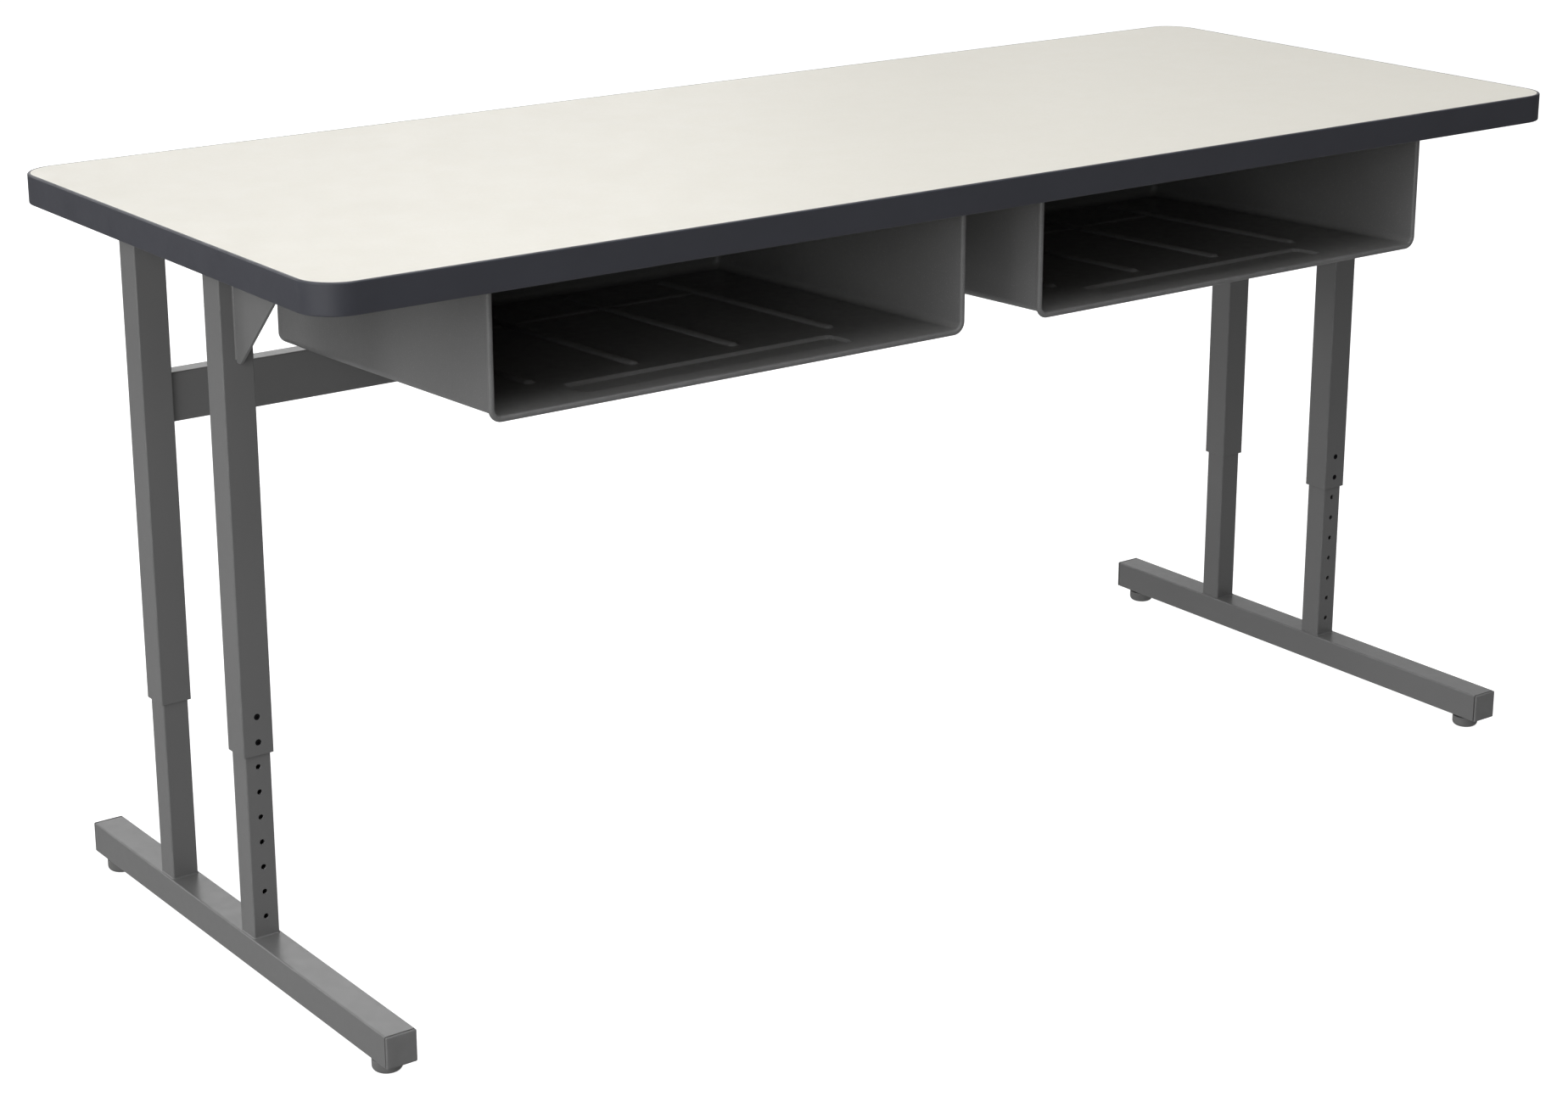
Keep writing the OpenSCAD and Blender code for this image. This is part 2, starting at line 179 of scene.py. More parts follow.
class DeskFittingSizes(bpy.types.PropertyGroup):
    """Sizes of caps, glides and screws."""

    cap_plug: length("Cap plug", "Side of the plug inside the foot", 26.4)
    cap_boss: length("Cap boss", "Side of the boss in the groove", 26.4)
    cap_gap: length("Cap groove", "Width of the groove between foot and cap", 1.4)
    cap_round: length("Cap rounding", "Rounding of the cap's outer edge", 1.5)
    cap_crown: length("Cap crown", "Crown of the cap's face", 0.2)
    glide_round: length("Glide rounding", "Rounding under a glide", 5)
    glide_rim: length("Glide rim", "Rounding of the glide's upper edge", 0.9)
    glide_socket: length("Glide socket depth", "Height of the socket's floor", 3.5)
    thread_pitch: length("Thread pitch", "Pitch of a glide's stem", 1.25)
    thread_depth: length("Thread depth", "Depth of the stem's thread", 0.45)
    screw_head_r: length("Screw head radius", "Radius of a pan head", 4.6)
    screw_head_h: length("Screw head height", "Height of a pan head", 2.4)
    screw_r: length("Screw radius", "Radius of a screw's shank", 2.1)
    screw_l: length("Screw length", "Length of a screw under its head", 16)


class DeskColours(bpy.types.PropertyGroup):
    """Base colours of the finishes."""

    laminate: colour("Laminate", "Warm white laminate", (0.845, 0.820, 0.742))
    edge_vinyl: colour("Edge vinyl", "Charcoal blue edge moulding", (0.0458, 0.0475, 0.0590))
    frame_paint: colour("Frame paint", "Grey powder coat of the frame", (0.181, 0.181, 0.181))
    box_paint: colour("Box paint", "Grey textured coat of the boxes", (0.176, 0.176, 0.176))
    board: colour("Board", "Particle board of the core", (0.450, 0.310, 0.180))
    backer: colour("Backer", "Backing sheet under the core", (0.205, 0.180, 0.150))
    zinc: colour("Zinc", "Zinc-plated screws and nuts", (0.560, 0.570, 0.590))
    black_steel: colour("Black steel", "Blackened lock screws", (0.022, 0.022, 0.024))
    liner: colour("Liner", "Plastic liners in the uprights", (0.014, 0.014, 0.015))
    cap: colour("Cap", "Moulded foot caps", (0.204, 0.204, 0.204))
    glide: colour("Glide", "Nylon glides", (0.170, 0.170, 0.168))
    floor: colour("Floor", "Studio floor", (0.500, 0.500, 0.500))


class DeskStage(bpy.types.PropertyGroup):
    """Camera and studio light."""

    camera_place: FloatVectorProperty(
        name="Camera place",
        description="Where the camera stands",
        default=(-1.9616, -2.5684, 1.3438),
        size=3,
        subtype="TRANSLATION",
    )
    camera_turn: FloatVectorProperty(
        name="Camera turn",
        description="Which way the camera looks",
        default=(radians(72.946), 0.0, radians(-36.628)),
        size=3,
        subtype="EULER",
    )
    lens: amount("Lens", "Focal length in millimetres", 72.89, 300.0)
    shift_x: FloatProperty(name="Shift X", description="Sideways shift", default=-0.00465)
    shift_y: FloatProperty(name="Shift Y", description="Upward shift", default=-0.0427)
    key: watts("Key light", "Power of the large soft light on the left", 54.0)
    front_key: watts("Front key light", "Power of the soft light at the front left", 36.0)
    rear_key: watts("Rear key light", "Power of the soft light at the rear left", 46.0)
    overhead: watts("Overhead light", "Power of the soft light above", 42.0)
    front_overhead: watts("Front overhead light", "Power of the soft light above the front", 26.0)
    rear: watts("Rear light", "Power of the wide soft light behind", 13.0)
    rear_panel: watts("Rear panel", "Power of the high panel that the feet mirror", 24.0)
    right_rear: watts("Right rear light", "Power of the soft light at the rear right", 7.0)
    low_rear: watts("Low rear light", "Power of the low soft light behind", 10.0)
    bounce: watts("Bounce light", "Power of the light thrown up from the floor", 26.0)
    ambient: amount("Ambient light", "Strength of the light from all round", 0.118)
    floor_glow: amount("Floor glow", "How far the floor is lit up to an even white", 0.97)


# ---- Mesh work shared by the pieces ----


def new_mesh():
    """An empty mesh whose points carry how much each shows edge wear."""
    bm = bmesh.new()
    bm.verts.layers.float.new("edge")
    return bm


def round_outline(w, d, r, steps=6):
    """Anticlockwise points of a rectangle with round corners, and the wear of each point."""
    points, wear = [], []
    for quarter, (sx, sy) in enumerate(((1, 1), (-1, 1), (-1, -1), (1, -1))):
        for i in range(steps + 1):
            turn = pi / 2 * (quarter + i / steps)
            points.append((sx * (w / 2 - r) + r * cos(turn), sy * (d / 2 - r) + r * sin(turn)))
            wear.append(sin(pi * i / steps))
    return points, wear


def outward(x, y, w, d, r):
    """Outward direction at a point of such a rectangle's outline."""
    cx = max(-w / 2 + r, min(w / 2 - r, x))
    cy = max(-d / 2 + r, min(d / 2 - r, y))
    return Vector((x - cx, y - cy, 0)).normalized()


def circle(r, steps):
    """Anticlockwise points of a circle."""
    return [(r * cos(2 * pi * i / steps), r * sin(2 * pi * i / steps)) for i in range(steps)]


def skin(bm, loops, wear=None, ring=False, caps=False, closed=True):
    """Joins loops of equal length with quads and returns the rows of points."""
    layer = bm.verts.layers.float["edge"]
    rows = []
    for loop in loops:
        row = [bm.verts.new(p) for p in loop]
        for vert, share in zip(row, wear or ()):
            vert[layer] = share
        rows.append(row)
    pairs = list(zip(rows, rows[1:]))
    if ring:
        pairs.append((rows[-1], rows[0]))
    for a, b in pairs:
        for i in range(len(a) if closed else len(a) - 1):
            j = (i + 1) % len(a)
            bm.faces.new((a[i], a[j], b[j], b[i]))
    if caps:
        bm.faces.new(rows[0][::-1])
        bm.faces.new(rows[-1])
    return rows


def lathe(bm, profile, centre, steps=48):
    """A closed turned solid from (radius, height) points, whose first and last radius are 0."""
    inner = profile[1:-1]
    loops = [[centre + Vector((x, y, z)) for x, y in circle(r, steps)] for r, z in inner]
    rows = skin(bm, loops)
    for (_, z), row in ((profile[0], rows[0][::-1]), (profile[-1], rows[-1])):
        tip = bm.verts.new(centre + Vector((0, 0, z)))
        for i in range(steps):
            bm.faces.new((row[i], row[(i + 1) % steps], tip))


def arc(cx, cy, r, start, end, steps):
    """Points on an arc, angles in degrees."""
    turns = [radians(start + (end - start) * i / steps) for i in range(steps + 1)]
    return [(cx + r * cos(t), cy + r * sin(t)) for t in turns]


def object_from(bm, name):
    """A scene object that holds the mesh."""
    bmesh.ops.recalc_face_normals(bm, faces=bm.faces)
    mesh = bpy.data.meshes.new(name)
    bm.to_mesh(mesh)
    bm.free()
    piece = bpy.data.objects.new(name, mesh)
    bpy.context.scene.collection.objects.link(piece)
    return piece


def apply_modifiers(piece):
    """Makes the modifiers' result the piece's own mesh."""
    seen = piece.evaluated_get(bpy.context.evaluated_depsgraph_get())
    solid = bpy.data.meshes.new_from_object(seen)
    piece.modifiers.clear()
    rough = piece.data
    piece.data = solid
    bpy.data.meshes.remove(rough)
    solid.name = piece.name


def cut(piece, cutter):
    """Cuts the solid in a bmesh out of the piece."""
    tool = object_from(cutter, "cutter")
    hole = piece.modifiers.new("holes", "BOOLEAN")
    hole.operation = "DIFFERENCE"
    hole.solver = "EXACT"
    hole.object = tool
    apply_modifiers(piece)
    mesh = tool.data
    bpy.data.objects.remove(tool)
    bpy.data.meshes.remove(mesh)


def settle(piece, body, slot, nodes=(), sharp=38):
    """Shades the piece, gives it its slot's finish and puts it on its body for the CAD nodes."""
    piece.data.shade_smooth()
    piece.data.set_sharp_from_angle(angle=radians(sharp))
    shading = piece.modifiers.new("shading", "WEIGHTED_NORMAL")
    shading.keep_sharp = True
    apply_modifiers(piece)
    piece.data.materials.clear()
    piece.data.materials.append(finish(slot))
    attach(piece, body)
    if nodes:
        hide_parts(*nodes)
    return piece


def add_square_tube(bm, place, w, d, long, wall, corner_r, ease):
    """An open square tube along its own z, put in the desk's frame by place(x, y, z)."""
    outer, wear = round_outline(w, d, corner_r)
    eased, _ = round_outline(w - 2 * ease, d - 2 * ease, corner_r - ease)
    bore_r = max(corner_r - wall, 0.5 * MM)
    bore, _ = round_outline(w - 2 * wall, d - 2 * wall, bore_r)
    levels = [(eased, 0), (outer, ease), (outer, long - ease), (eased, long), (bore, long), (bore, 0)]
    skin(bm, [[place(x, y, z) for x, y in points] for points, z in levels], wear, ring=True)


def add_hole_cutter(bm, mouth, inward, r, depth, ease, steps=28):
    """A cutter for a hole with a small chamfer, from its mouth on a flat face inwards."""
    side = inward.orthogonal().normalized()
    up = inward.cross(side)
    outside = 1 * MM
    levels = [(r + ease + outside, -outside), (r, ease), (r, depth)]
    loops = [
        [mouth + side * x + up * y + inward * level for x, y in circle(radius, steps)]
        for radius, level in levels
    ]
    skin(bm, loops, caps=True)


def add_weld(bm, path, out, up, size, closed=False):
    """A rippled weld bead along a corner; out and up are its two directions at each point."""
    sink = WELD_SINK * size
    loops = []
    for i, point in enumerate(path):
        a, b = out[i], up[i]
        run = size * (1 + WELD_WAVE * sin(WELD_TURN * i))
        bulge = (a + b) * (WELD_BULGE * run)
        foot = point - (a + b) * sink
        loops.append([foot, point + a * run - b * sink, point + bulge, point + b * run - a * sink])
    skin(bm, loops, ring=closed, caps=not closed)


def spread_points(a, b, step):
    """Evenly spread points from a to b."""
    count = max(2, int((b - a).length / step))
    return [a.lerp(b, i / count) for i in range(count + 1)]


def middle(node):
    """The middle of a CAD node's box."""
    lo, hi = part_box(node)
    return (lo + hi) / 2


def plan_middles(node, reach):
    """The middles, in plan, of the separate solids of a CAD node that stand further apart than reach."""
    groups = []
    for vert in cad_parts[node].data.vertices:
        for group in groups:
            if hypot(vert.co.x - group[0].x, vert.co.y - group[0].y) < reach:
                group.append(vert.co)
                break
        else:
            groups.append([vert.co])
    return [
        (
            (min(p.x for p in group) + max(p.x for p in group)) / 2,
            (min(p.y for p in group) + max(p.y for p in group)) / 2,
        )
        for group in groups
    ]


# ---- Finishes ----


class Finish:
    """Builds one procedural material, node by node."""

    def __init__(self, name, base, **constants):
        self.material = bpy.data.materials.new(name)
        self.material.use_nodes = True
        self.tree = self.material.node_tree
        self.shader = self.tree.nodes["Principled BSDF"]
        self.where = self.node("ShaderNodeTexCoord").outputs["Object"]
        self.bumps = []
        self.base = tuple(base)
        self.shader.inputs["Emission Color"].default_value = (1.0, 1.0, 1.0, 1.0)
        for socket, value in constants.items():
            self.shader.inputs[socket.replace("_", " ")].default_value = value

    def node(self, kind, settings=None, **inputs):
        """Adds a node, sets its properties and links or sets its inputs."""
        made = self.tree.nodes.new(kind)
        for key, value in (settings or {}).items():
            setattr(made, key, value)
        for key, value in inputs.items():
            self.feed(made.inputs[key.replace("_", " ")], value)
        return made

    def feed(self, socket, value):
        """Links a socket to an input, or sets the input to a plain value."""
        if isinstance(value, bpy.types.NodeSocket):
            self.tree.links.new(value, socket)
        else:
            socket.default_value = value

    def noise(self, scale, detail=2.0, where=None):
        """Noise of that many features a metre."""
        made = self.node(
            "ShaderNodeTexNoise", None, Vector=where or self.where, Scale=scale, Detail=detail
        )
        return made.outputs["Fac"]

    def stretch(self, x, y, z):
        """The coordinates scaled apart, for grain that runs one way."""
        made = self.node("ShaderNodeMapping", None, Vector=self.where, Scale=(x, y, z))
        return made.outputs["Vector"]

    def span(self, value, low, high, to_low=0.0, to_high=1.0):
        """Maps low to high onto to_low to to_high, and holds the ends."""
        made = self.node(
            "ShaderNodeMapRange",
            None,
            Value=value,
            From_Min=low,
            From_Max=high,
            To_Min=to_low,
            To_Max=to_high,
        )
        return made.outputs["Result"]

    def patches(self, scale, detail, low=0.0, high=1.0):
        """Soft patches of noise that run from low to high."""
        return self.span(self.noise(scale, detail), 0.3, 0.7, low, high)

    def times(self, a, b):
        """The product of two values."""
        made = self.node("ShaderNodeMath", {"operation": "MULTIPLY"})
        for socket, value in zip(made.inputs, (a, b)):
            self.feed(socket, value)
        return made.outputs["Value"]

    def mix(self, share, a, b):
        """Blends two colours; the share and either colour may be a socket."""
        made = self.node("ShaderNodeMix", {"data_type": "RGBA"})
        for socket, value in ((made.inputs[0], share), (made.inputs[6], a), (made.inputs[7], b)):
            self.feed(socket, (*value, 1.0) if isinstance(value, tuple) else value)
        return made.outputs[2]

    def shade(self, factor):
        """The base colour made lighter or darker."""
        return tuple(min(1.0, c * factor) for c in self.base)

    def rubbed_edge_and_highlight(self):
        """How much an edge is rubbed, and on the edge moulding also lit as a painted highlight: the
        mesh's own edges, broken up by noise.
        """
        edge = self.node("ShaderNodeAttribute", {"attribute_name": "edge"}).outputs["Fac"]
        return self.times(edge, self.span(self.noise(55.0, 3.0), 0.42, 0.66))

    def bump(self, height, strength, depth):
        """Adds a bump layer whose full height is depth."""
        previous = {"Normal": self.bumps[-1]} if self.bumps else {}
        made = self.node(
            "ShaderNodeBump", None, Height=height, Strength=strength, Distance=depth, **previous
        )
        self.bumps.append(made.outputs["Normal"])

    def done(self, colour, roughness):
        """Links what was built to the shader and returns the material."""
        self.tree.links.new(colour, self.shader.inputs["Base Color"])
        self.tree.links.new(roughness, self.shader.inputs["Roughness"])
        if self.bumps:
            self.tree.links.new(self.bumps[-1], self.shader.inputs["Normal"])
        return self.material


def powder_coat(name, base, glint_share, texture, gloss):
    """Baked powder coat: orange peel, faint clouds, fine specks painted lighter as glints, and rubbed
    edges.
    """
    coat = Finish(name, base, IOR=1.5, Specular_IOR_Level=0.5)
    clouds = coat.patches(7.0, 3.0)
    grains = coat.noise(1100.0, 1.0)
    painted_glints = coat.span(grains, 0.66, 0.74)
    colour = coat.mix(clouds, coat.shade(0.97), coat.shade(1.03))
    # Fine specks painted 2.2 times lighter: painted glints of the textured coat.
    colour = coat.mix(coat.times(painted_glints, glint_share), colour, coat.shade(2.2))
    colour = coat.mix(coat.times(coat.rubbed_edge_and_highlight(), 0.35), colour, coat.shade(1.45))
    coat.bump(coat.noise(420.0, 2.0), texture, 0.25 * MM)
    coat.bump(grains, texture * 0.6, 0.06 * MM)
    rough = coat.patches(95.0, 3.0, gloss - 0.03, gloss + 0.04)
    return coat.done(colour, rough)


def laminate_sheet(base):
    """High-pressure laminate: warm white with very faint flecks and a suede face."""
    sheet = Finish("warm_laminate", base, IOR=1.5, Specular_IOR_Level=0.42)
    clouds = sheet.patches(9.0, 2.0)
    flecks = sheet.span(sheet.noise(260.0, 3.0), 0.38, 0.62)
    pores = sheet.span(sheet.noise(700.0, 1.0), 0.70, 0.76)
    colour = sheet.mix(clouds, sheet.shade(0.992), sheet.shade(1.004))
    colour = sheet.mix(sheet.times(flecks, 0.4), colour, sheet.shade(0.965))
    colour = sheet.mix(sheet.times(pores, 0.35), colour, sheet.shade(0.88))
    sheet.bump(sheet.noise(900.0, 2.0), 0.12, 0.05 * MM)
    rough = sheet.patches(40.0, 4.0, 0.42, 0.54)
    return sheet.done(colour, rough)


def edge_moulding_vinyl(base):
    """Extruded vinyl: fine haircell grain, draw lines, and edges painted lighter for rub wear and as a
    painted highlight on the rounded upper edge.
    """
    vinyl = Finish("charcoal_edge_vinyl", base, IOR=1.5, Specular_IOR_Level=0.5)
    clouds = vinyl.patches(14.0, 3.0)
    lines = vinyl.noise(1.0, 2.0, vinyl.stretch(6.0, 6.0, 1500.0))
    hairs = vinyl.node(
        "ShaderNodeTexVoronoi", {"feature": "DISTANCE_TO_EDGE"}, Vector=vinyl.where, Scale=700.0
    ).outputs["Distance"]
    colour = vinyl.mix(clouds, vinyl.shade(0.95), vinyl.shade(1.06))
    # Rounded edges painted up to 1.9 times lighter: rubbed wear, and a painted highlight along the upper
    # rounded edge.
    colour = vinyl.mix(vinyl.times(vinyl.rubbed_edge_and_highlight(), 0.5), colour, vinyl.shade(1.9))
    vinyl.bump(lines, 0.10, 0.10 * MM)
    vinyl.bump(hairs, 0.18, 0.12 * MM)
    rough = vinyl.patches(60.0, 3.0, 0.38, 0.48)
    return vinyl.done(colour, rough)


def particle_board(base):
    """Pressed wood chips."""
    board = Finish("particle_board", base, IOR=1.45, Specular_IOR_Level=0.2)
    chips = board.node(
        "ShaderNodeTexVoronoi", {"feature": "F1"}, Vector=board.stretch(1.0, 1.0, 3.0), Scale=320.0
    )
    tone = board.span(chips.outputs["Color"], 0.1, 0.9)
    colour = board.mix(tone, board.shade(0.72), board.shade(1.25))
    board.bump(chips.outputs["Distance"], 0.5, 0.4 * MM)
    rough = board.patches(300.0, 2.0, 0.75, 0.92)
    return board.done(colour, rough)


def backing_paper(base):
    """Resin-bonded kraft backing with faint fibres."""
    paper = Finish("kraft_backing", base, IOR=1.45, Specular_IOR_Level=0.3)
    fibres = paper.noise(1.0, 4.0, paper.stretch(60.0, 900.0, 60.0))
    colour = paper.mix(paper.span(fibres, 0.3, 0.7), paper.shade(0.88), paper.shade(1.12))
    paper.bump(fibres, 0.25, 0.10 * MM)
    rough = paper.patches(120.0, 3.0, 0.60, 0.74)
    return paper.done(colour, rough)


def plated_steel(name, base, low, high):
    """Metal with fine turning marks and a patchy plating."""
    steel = Finish(name, base, Metallic=1.0, IOR=2.2)
    patches = steel.span(steel.noise(380.0, 3.0), 0.35, 0.65)
    marks = steel.noise(1.0, 2.0, steel.stretch(700.0, 700.0, 4200.0))
    colour = steel.mix(patches, steel.shade(0.85), steel.shade(1.1))
    steel.bump(marks, 0.20, 0.04 * MM)
    rough = steel.span(patches, 0.0, 1.0, low, high)
    return steel.done(colour, rough)


def moulded_plastic(name, base, low, high):
    """Injection-moulded plastic with a fine spark-eroded texture."""
    plastic = Finish(name, base, IOR=1.48, Specular_IOR_Level=0.5)
    clouds = plastic.patches(45.0, 3.0)
    grain = plastic.noise(1500.0, 2.0)
    colour = plastic.mix(clouds, plastic.shade(0.93), plastic.shade(1.07))
    colour = plastic.mix(plastic.times(plastic.rubbed_edge_and_highlight(), 0.4), colour, plastic.shade(1.5))
    plastic.bump(grain, 0.25, 0.08 * MM)
    rough = plastic.patches(160.0, 3.0, low, high)
    return plastic.done(colour, rough)


def studio_floor(base, glow):
    """Plain pale floor with a trace of tone, lit up towards an even white."""
    ground = Finish("pale_floor", base, Specular_IOR_Level=0.0, Emission_Strength=glow)
    tone = ground.patches(0.6, 2.0)
    colour = ground.mix(tone, ground.shade(0.98), ground.shade(1.0))
    rough = ground.patches(3.0, 2.0, 0.85, 0.95)
    ground.bump(ground.noise(500.0, 2.0), 0.1, 0.1 * MM)
    return ground.done(colour, rough)


def finish(slot):
    """The material of a slot, made on first use."""
    colours = bpy.context.scene.desk_colours
    makers = {
        "frame_paint": lambda: powder_coat(
            "frame_powder_coat", colours.frame_paint, 0.05, 0.05, 0.31
        ),
        # The boxes' coat gets strong painted glints (0.45), the frame's only faint ones (0.05).
        "box_paint": lambda: powder_coat("box_texture_coat", colours.box_paint, 0.45, 0.30, 0.34),
        "laminate": lambda: laminate_sheet(colours.laminate),
        "edge_vinyl": lambda: edge_moulding_vinyl(colours.edge_vinyl),
        "core_board": lambda: particle_board(colours.board),
        "backer_sheet": lambda: backing_paper(colours.backer),
        "screw_zinc": lambda: plated_steel("zinc_plate", colours.zinc, 0.28, 0.42),
        "black_steel": lambda: plated_steel("black_oxide", colours.black_steel, 0.38, 0.52),
        "guide_plastic": lambda: moulded_plastic("liner_plastic", colours.liner, 0.45, 0.6),
        "cap_plastic": lambda: moulded_plastic("cap_plastic", colours.cap, 0.42, 0.54),
        "glide_nylon": lambda: moulded_plastic("glide_nylon", colours.glide, 0.34, 0.46),
    }
    key = "desk_finish_" + slot
    for material in bpy.data.materials:
        if material.get("desk_finish") == key:
            return material
    made = makers[slot]()
    made["desk_finish"] = key
    return made


def refinish(slot, *nodes):
    """Gives CAD nodes that stay as they are the finish of their slot."""
    for name in nodes:
        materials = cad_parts[name].data.materials
        materials.clear()
        materials.append(finish(slot))


# ---- Worktop ----


class DESK_OT_worktop(bpy.types.Operator):
    """Finish the laminate face, the board core and the backing sheet"""

    bl_idname = "desk.worktop"
    bl_label = "Worktop Layers"

    def execute(self, context):
        refinish("laminate", "tabletop_laminate")
        refinish("core_board", "tabletop_core")
        refinish("backer_sheet", "tabletop_backer")
        return {"FINISHED"}


class DESK_OT_edge_moulding(bpy.types.Operator):
    """Build the moulding round the worktop, with its barbed spine"""

    bl_idname = "desk.edge_moulding"
    bl_label = "Edge Moulding"

    def execute(self, context):
        sizes = context.scene.desk_top
        lo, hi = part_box("edge_band")
        w, d = hi.x - lo.x - 2 * sizes.band, hi.y - lo.y - 2 * sizes.band
        r = sizes.corner_r - sizes.band
        outline, _ = round_outline(w, d, r, steps=20)
        profile, wear = self.profile(sizes, lo.z, hi.z)
        normals = [outward(x, y, w, d, r) for x, y in outline]
        loops = [
            [Vector((x + n.x * out, y + n.y * out, z)) for out, z in profile]
            for (x, y), n in zip(outline, normals)
        ]
        bm = new_mesh()
        skin(bm, loops, wear, ring=True)
        piece = object_from(bm, "edge_band_moulding")
        settle(piece, "upper_frame", "edge_vinyl", ["edge_band"])
        return {"FINISHED"}

    def profile(self, sizes, bottom, top):
        """Section of the moulding as (out, z) points, and the wear of each, which on its rounded edges
        also paints their highlight.
        """
        r, band = sizes.band_round, sizes.band
        lower = arc(band - r, bottom + r, r, -90, 0, 6)
        upper = arc(band - r, top - r, r, 0, 90, 6)
        inner_top, inner_bottom = (0.0, top), (0.0, bottom)
        mid = (top + bottom) / 2
        flank = [(0.0, sizes.spine_half)]
        reach = sizes.barb_pitch
        while reach < sizes.spine:
            flank += [(-reach + 0.4 * MM, sizes.spine_half), (-reach, sizes.barb_half)]
            reach += sizes.barb_pitch
        flank.append((-sizes.spine, sizes.spine_half * 0.6))
        over = [(out, mid + half) for out, half in flank]
        under = [(out, mid - half) for out, half in reversed(flank)]
        points = [inner_bottom, *lower, *upper, inner_top, *over, *under]
        # Wear of the rounded edges, which the vinyl finish also paints as their highlight.
        rub_and_highlight = [sin(pi * i / 6) for i in range(7)]
        return points, [0.0, *rub_and_highlight, *rub_and_highlight, 0.0] + [0.0] * (len(over) + len(under))


# ---- Steel frame ----


def add_face_holes(cutter, node, face, r, heights, depth, ease):
    """Adds cutters for holes at these heights through the front (-1) or rear (1) face of a tube."""
    lo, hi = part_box(node)
    y = lo.y if face < 0 else hi.y
    for z in heights:
        mouth = Vector(((lo.x + hi.x) / 2, y, z))
        add_hole_cutter(cutter, mouth, Vector((0, -face, 0)), r, depth, ease)


def tube_piece(node, name, along, wall, sizes, corner_r):
    """A square tube in a CAD node's place, open at both ends of its long axis (0, 1 or 2)."""
    lo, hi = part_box(node)
    size, centre = [high - low for low, high in zip(lo, hi)], (lo + hi) / 2
    a, b = (axis for axis in range(3) if axis != along)

    def place(x, y, z):
        point = centre.copy()
        point[a] += x
        point[b] += y
        point[along] = lo[along] + z
        return point

    bm = new_mesh()
    add_square_tube(bm, place, size[a], size[b], size[along], wall, corner_r, sizes.cut_ease)
    return object_from(bm, name)


class DESK_OT_uprights(bpy.types.Operator):
    """Build the four uprights with their lock holes"""

    bl_idname = "desk.uprights"
    bl_label = "Uprights"

    def execute(self, context):
        sizes = context.scene.desk_tubes
        for side in SIDES:
            for end, face in ENDS.items():
                node = f"{side}_{end}_upright"
                tube = tube_piece(
                    node, f"{node}_tube", 2, sizes.upright_wall, sizes, sizes.corner_r
                )
                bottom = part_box(node)[0].z + sizes.lock_edge
                heights = [bottom, bottom + sizes.hole_pitch]
                depth = sizes.upright_wall + PAST_WALL
                cutter = new_mesh()
                add_face_holes(
                    cutter, node, face, sizes.lock_hole_r, heights, depth, sizes.hole_ease
                )
                cut(tube, cutter)
                settle(tube, "upper_frame", "frame_paint", [node])
        return {"FINISHED"}


class DESK_OT_leg_tubes(bpy.types.Operator):
    """Build the four leg tubes with their rows of height holes"""

    bl_idname = "desk.leg_tubes"
    bl_label = "Leg Tubes"

    def execute(self, context):
        sizes = context.scene.desk_tubes
        for side in SIDES:
            for end, face in ENDS.items():
                node = f"{side}_{end}_leg_tube"
                tube = tube_piece(
                    node, f"{node}_piece", 2, sizes.leg_wall, sizes, sizes.leg_corner_r
                )
                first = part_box(node)[0].z + sizes.first_hole
                heights = [first + n * sizes.hole_pitch for n in range(sizes.hole_count)]
                depth = sizes.leg_wall + PAST_WALL
                cutter = new_mesh()
                add_face_holes(
                    cutter, node, face, sizes.leg_hole_r, heights, depth, sizes.hole_ease
                )
                cut(tube, cutter)
                settle(tube, f"{side}_leg", "frame_paint", [node])
        return {"FINISHED"}


class DESK_OT_feet(bpy.types.Operator):
    """Build the two feet, with the holes for the glides"""

    bl_idname = "desk.feet"
    bl_label = "Feet"

    def execute(self, context):
        sizes = context.scene.desk_tubes
        for side in SIDES:
            node = f"{side}_foot"
            tube = tube_piece(node, f"{node}_tube", 1, sizes.foot_wall, sizes, sizes.corner_r)
            cutter = new_mesh()
            for end in ENDS:
                mouth = middle(f"{side}_{end}_glide_stem")
                mouth.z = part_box(node)[0].z
                depth = sizes.foot_wall + 1 * MM
                add_hole_cutter(
                    cutter, mouth, Vector((0, 0, 1)), sizes.glide_hole_r, depth, sizes.hole_ease
                )
            cut(tube, cutter)
            settle(tube, f"{side}_leg", "frame_paint", [node])
        return {"FINISHED"}


class DESK_OT_beam(bpy.types.Operator):
    """Build the beam between the two leg frames"""

    bl_idname = "desk.beam"
    bl_label = "Beam"

    def execute(self, context):
        sizes = context.scene.desk_tubes
        piece = tube_piece(
            "stretcher_beam", "stretcher_beam_tube", 0, sizes.beam_wall, sizes, sizes.corner_r
        )
        settle(piece, "upper_frame", "frame_paint", ["stretcher_beam"])
        return {"FINISHED"}


def plate(outline, across, ease, name):
    """A flat plate with softened edges, from its outline's points and its thickness vector."""
    bm = new_mesh()
    back = [bm.verts.new(p) for p in outline]
    front = [bm.verts.new(p + across) for p in outline]
    bm.faces.new(back[::-1])
    bm.faces.new(front)
    for i in range(len(back)):
        j = (i + 1) % len(back)
        bm.faces.new((back[i], back[j], front[j], front[i]))
    bmesh.ops.recalc_face_normals(bm, faces=bm.faces)
    bmesh.ops.bevel(
        bm, geom=list(bm.edges), offset=ease, offset_type="OFFSET", segments=3, profile=0.5,
        affect="EDGES",
    )
    return object_from(bm, name)


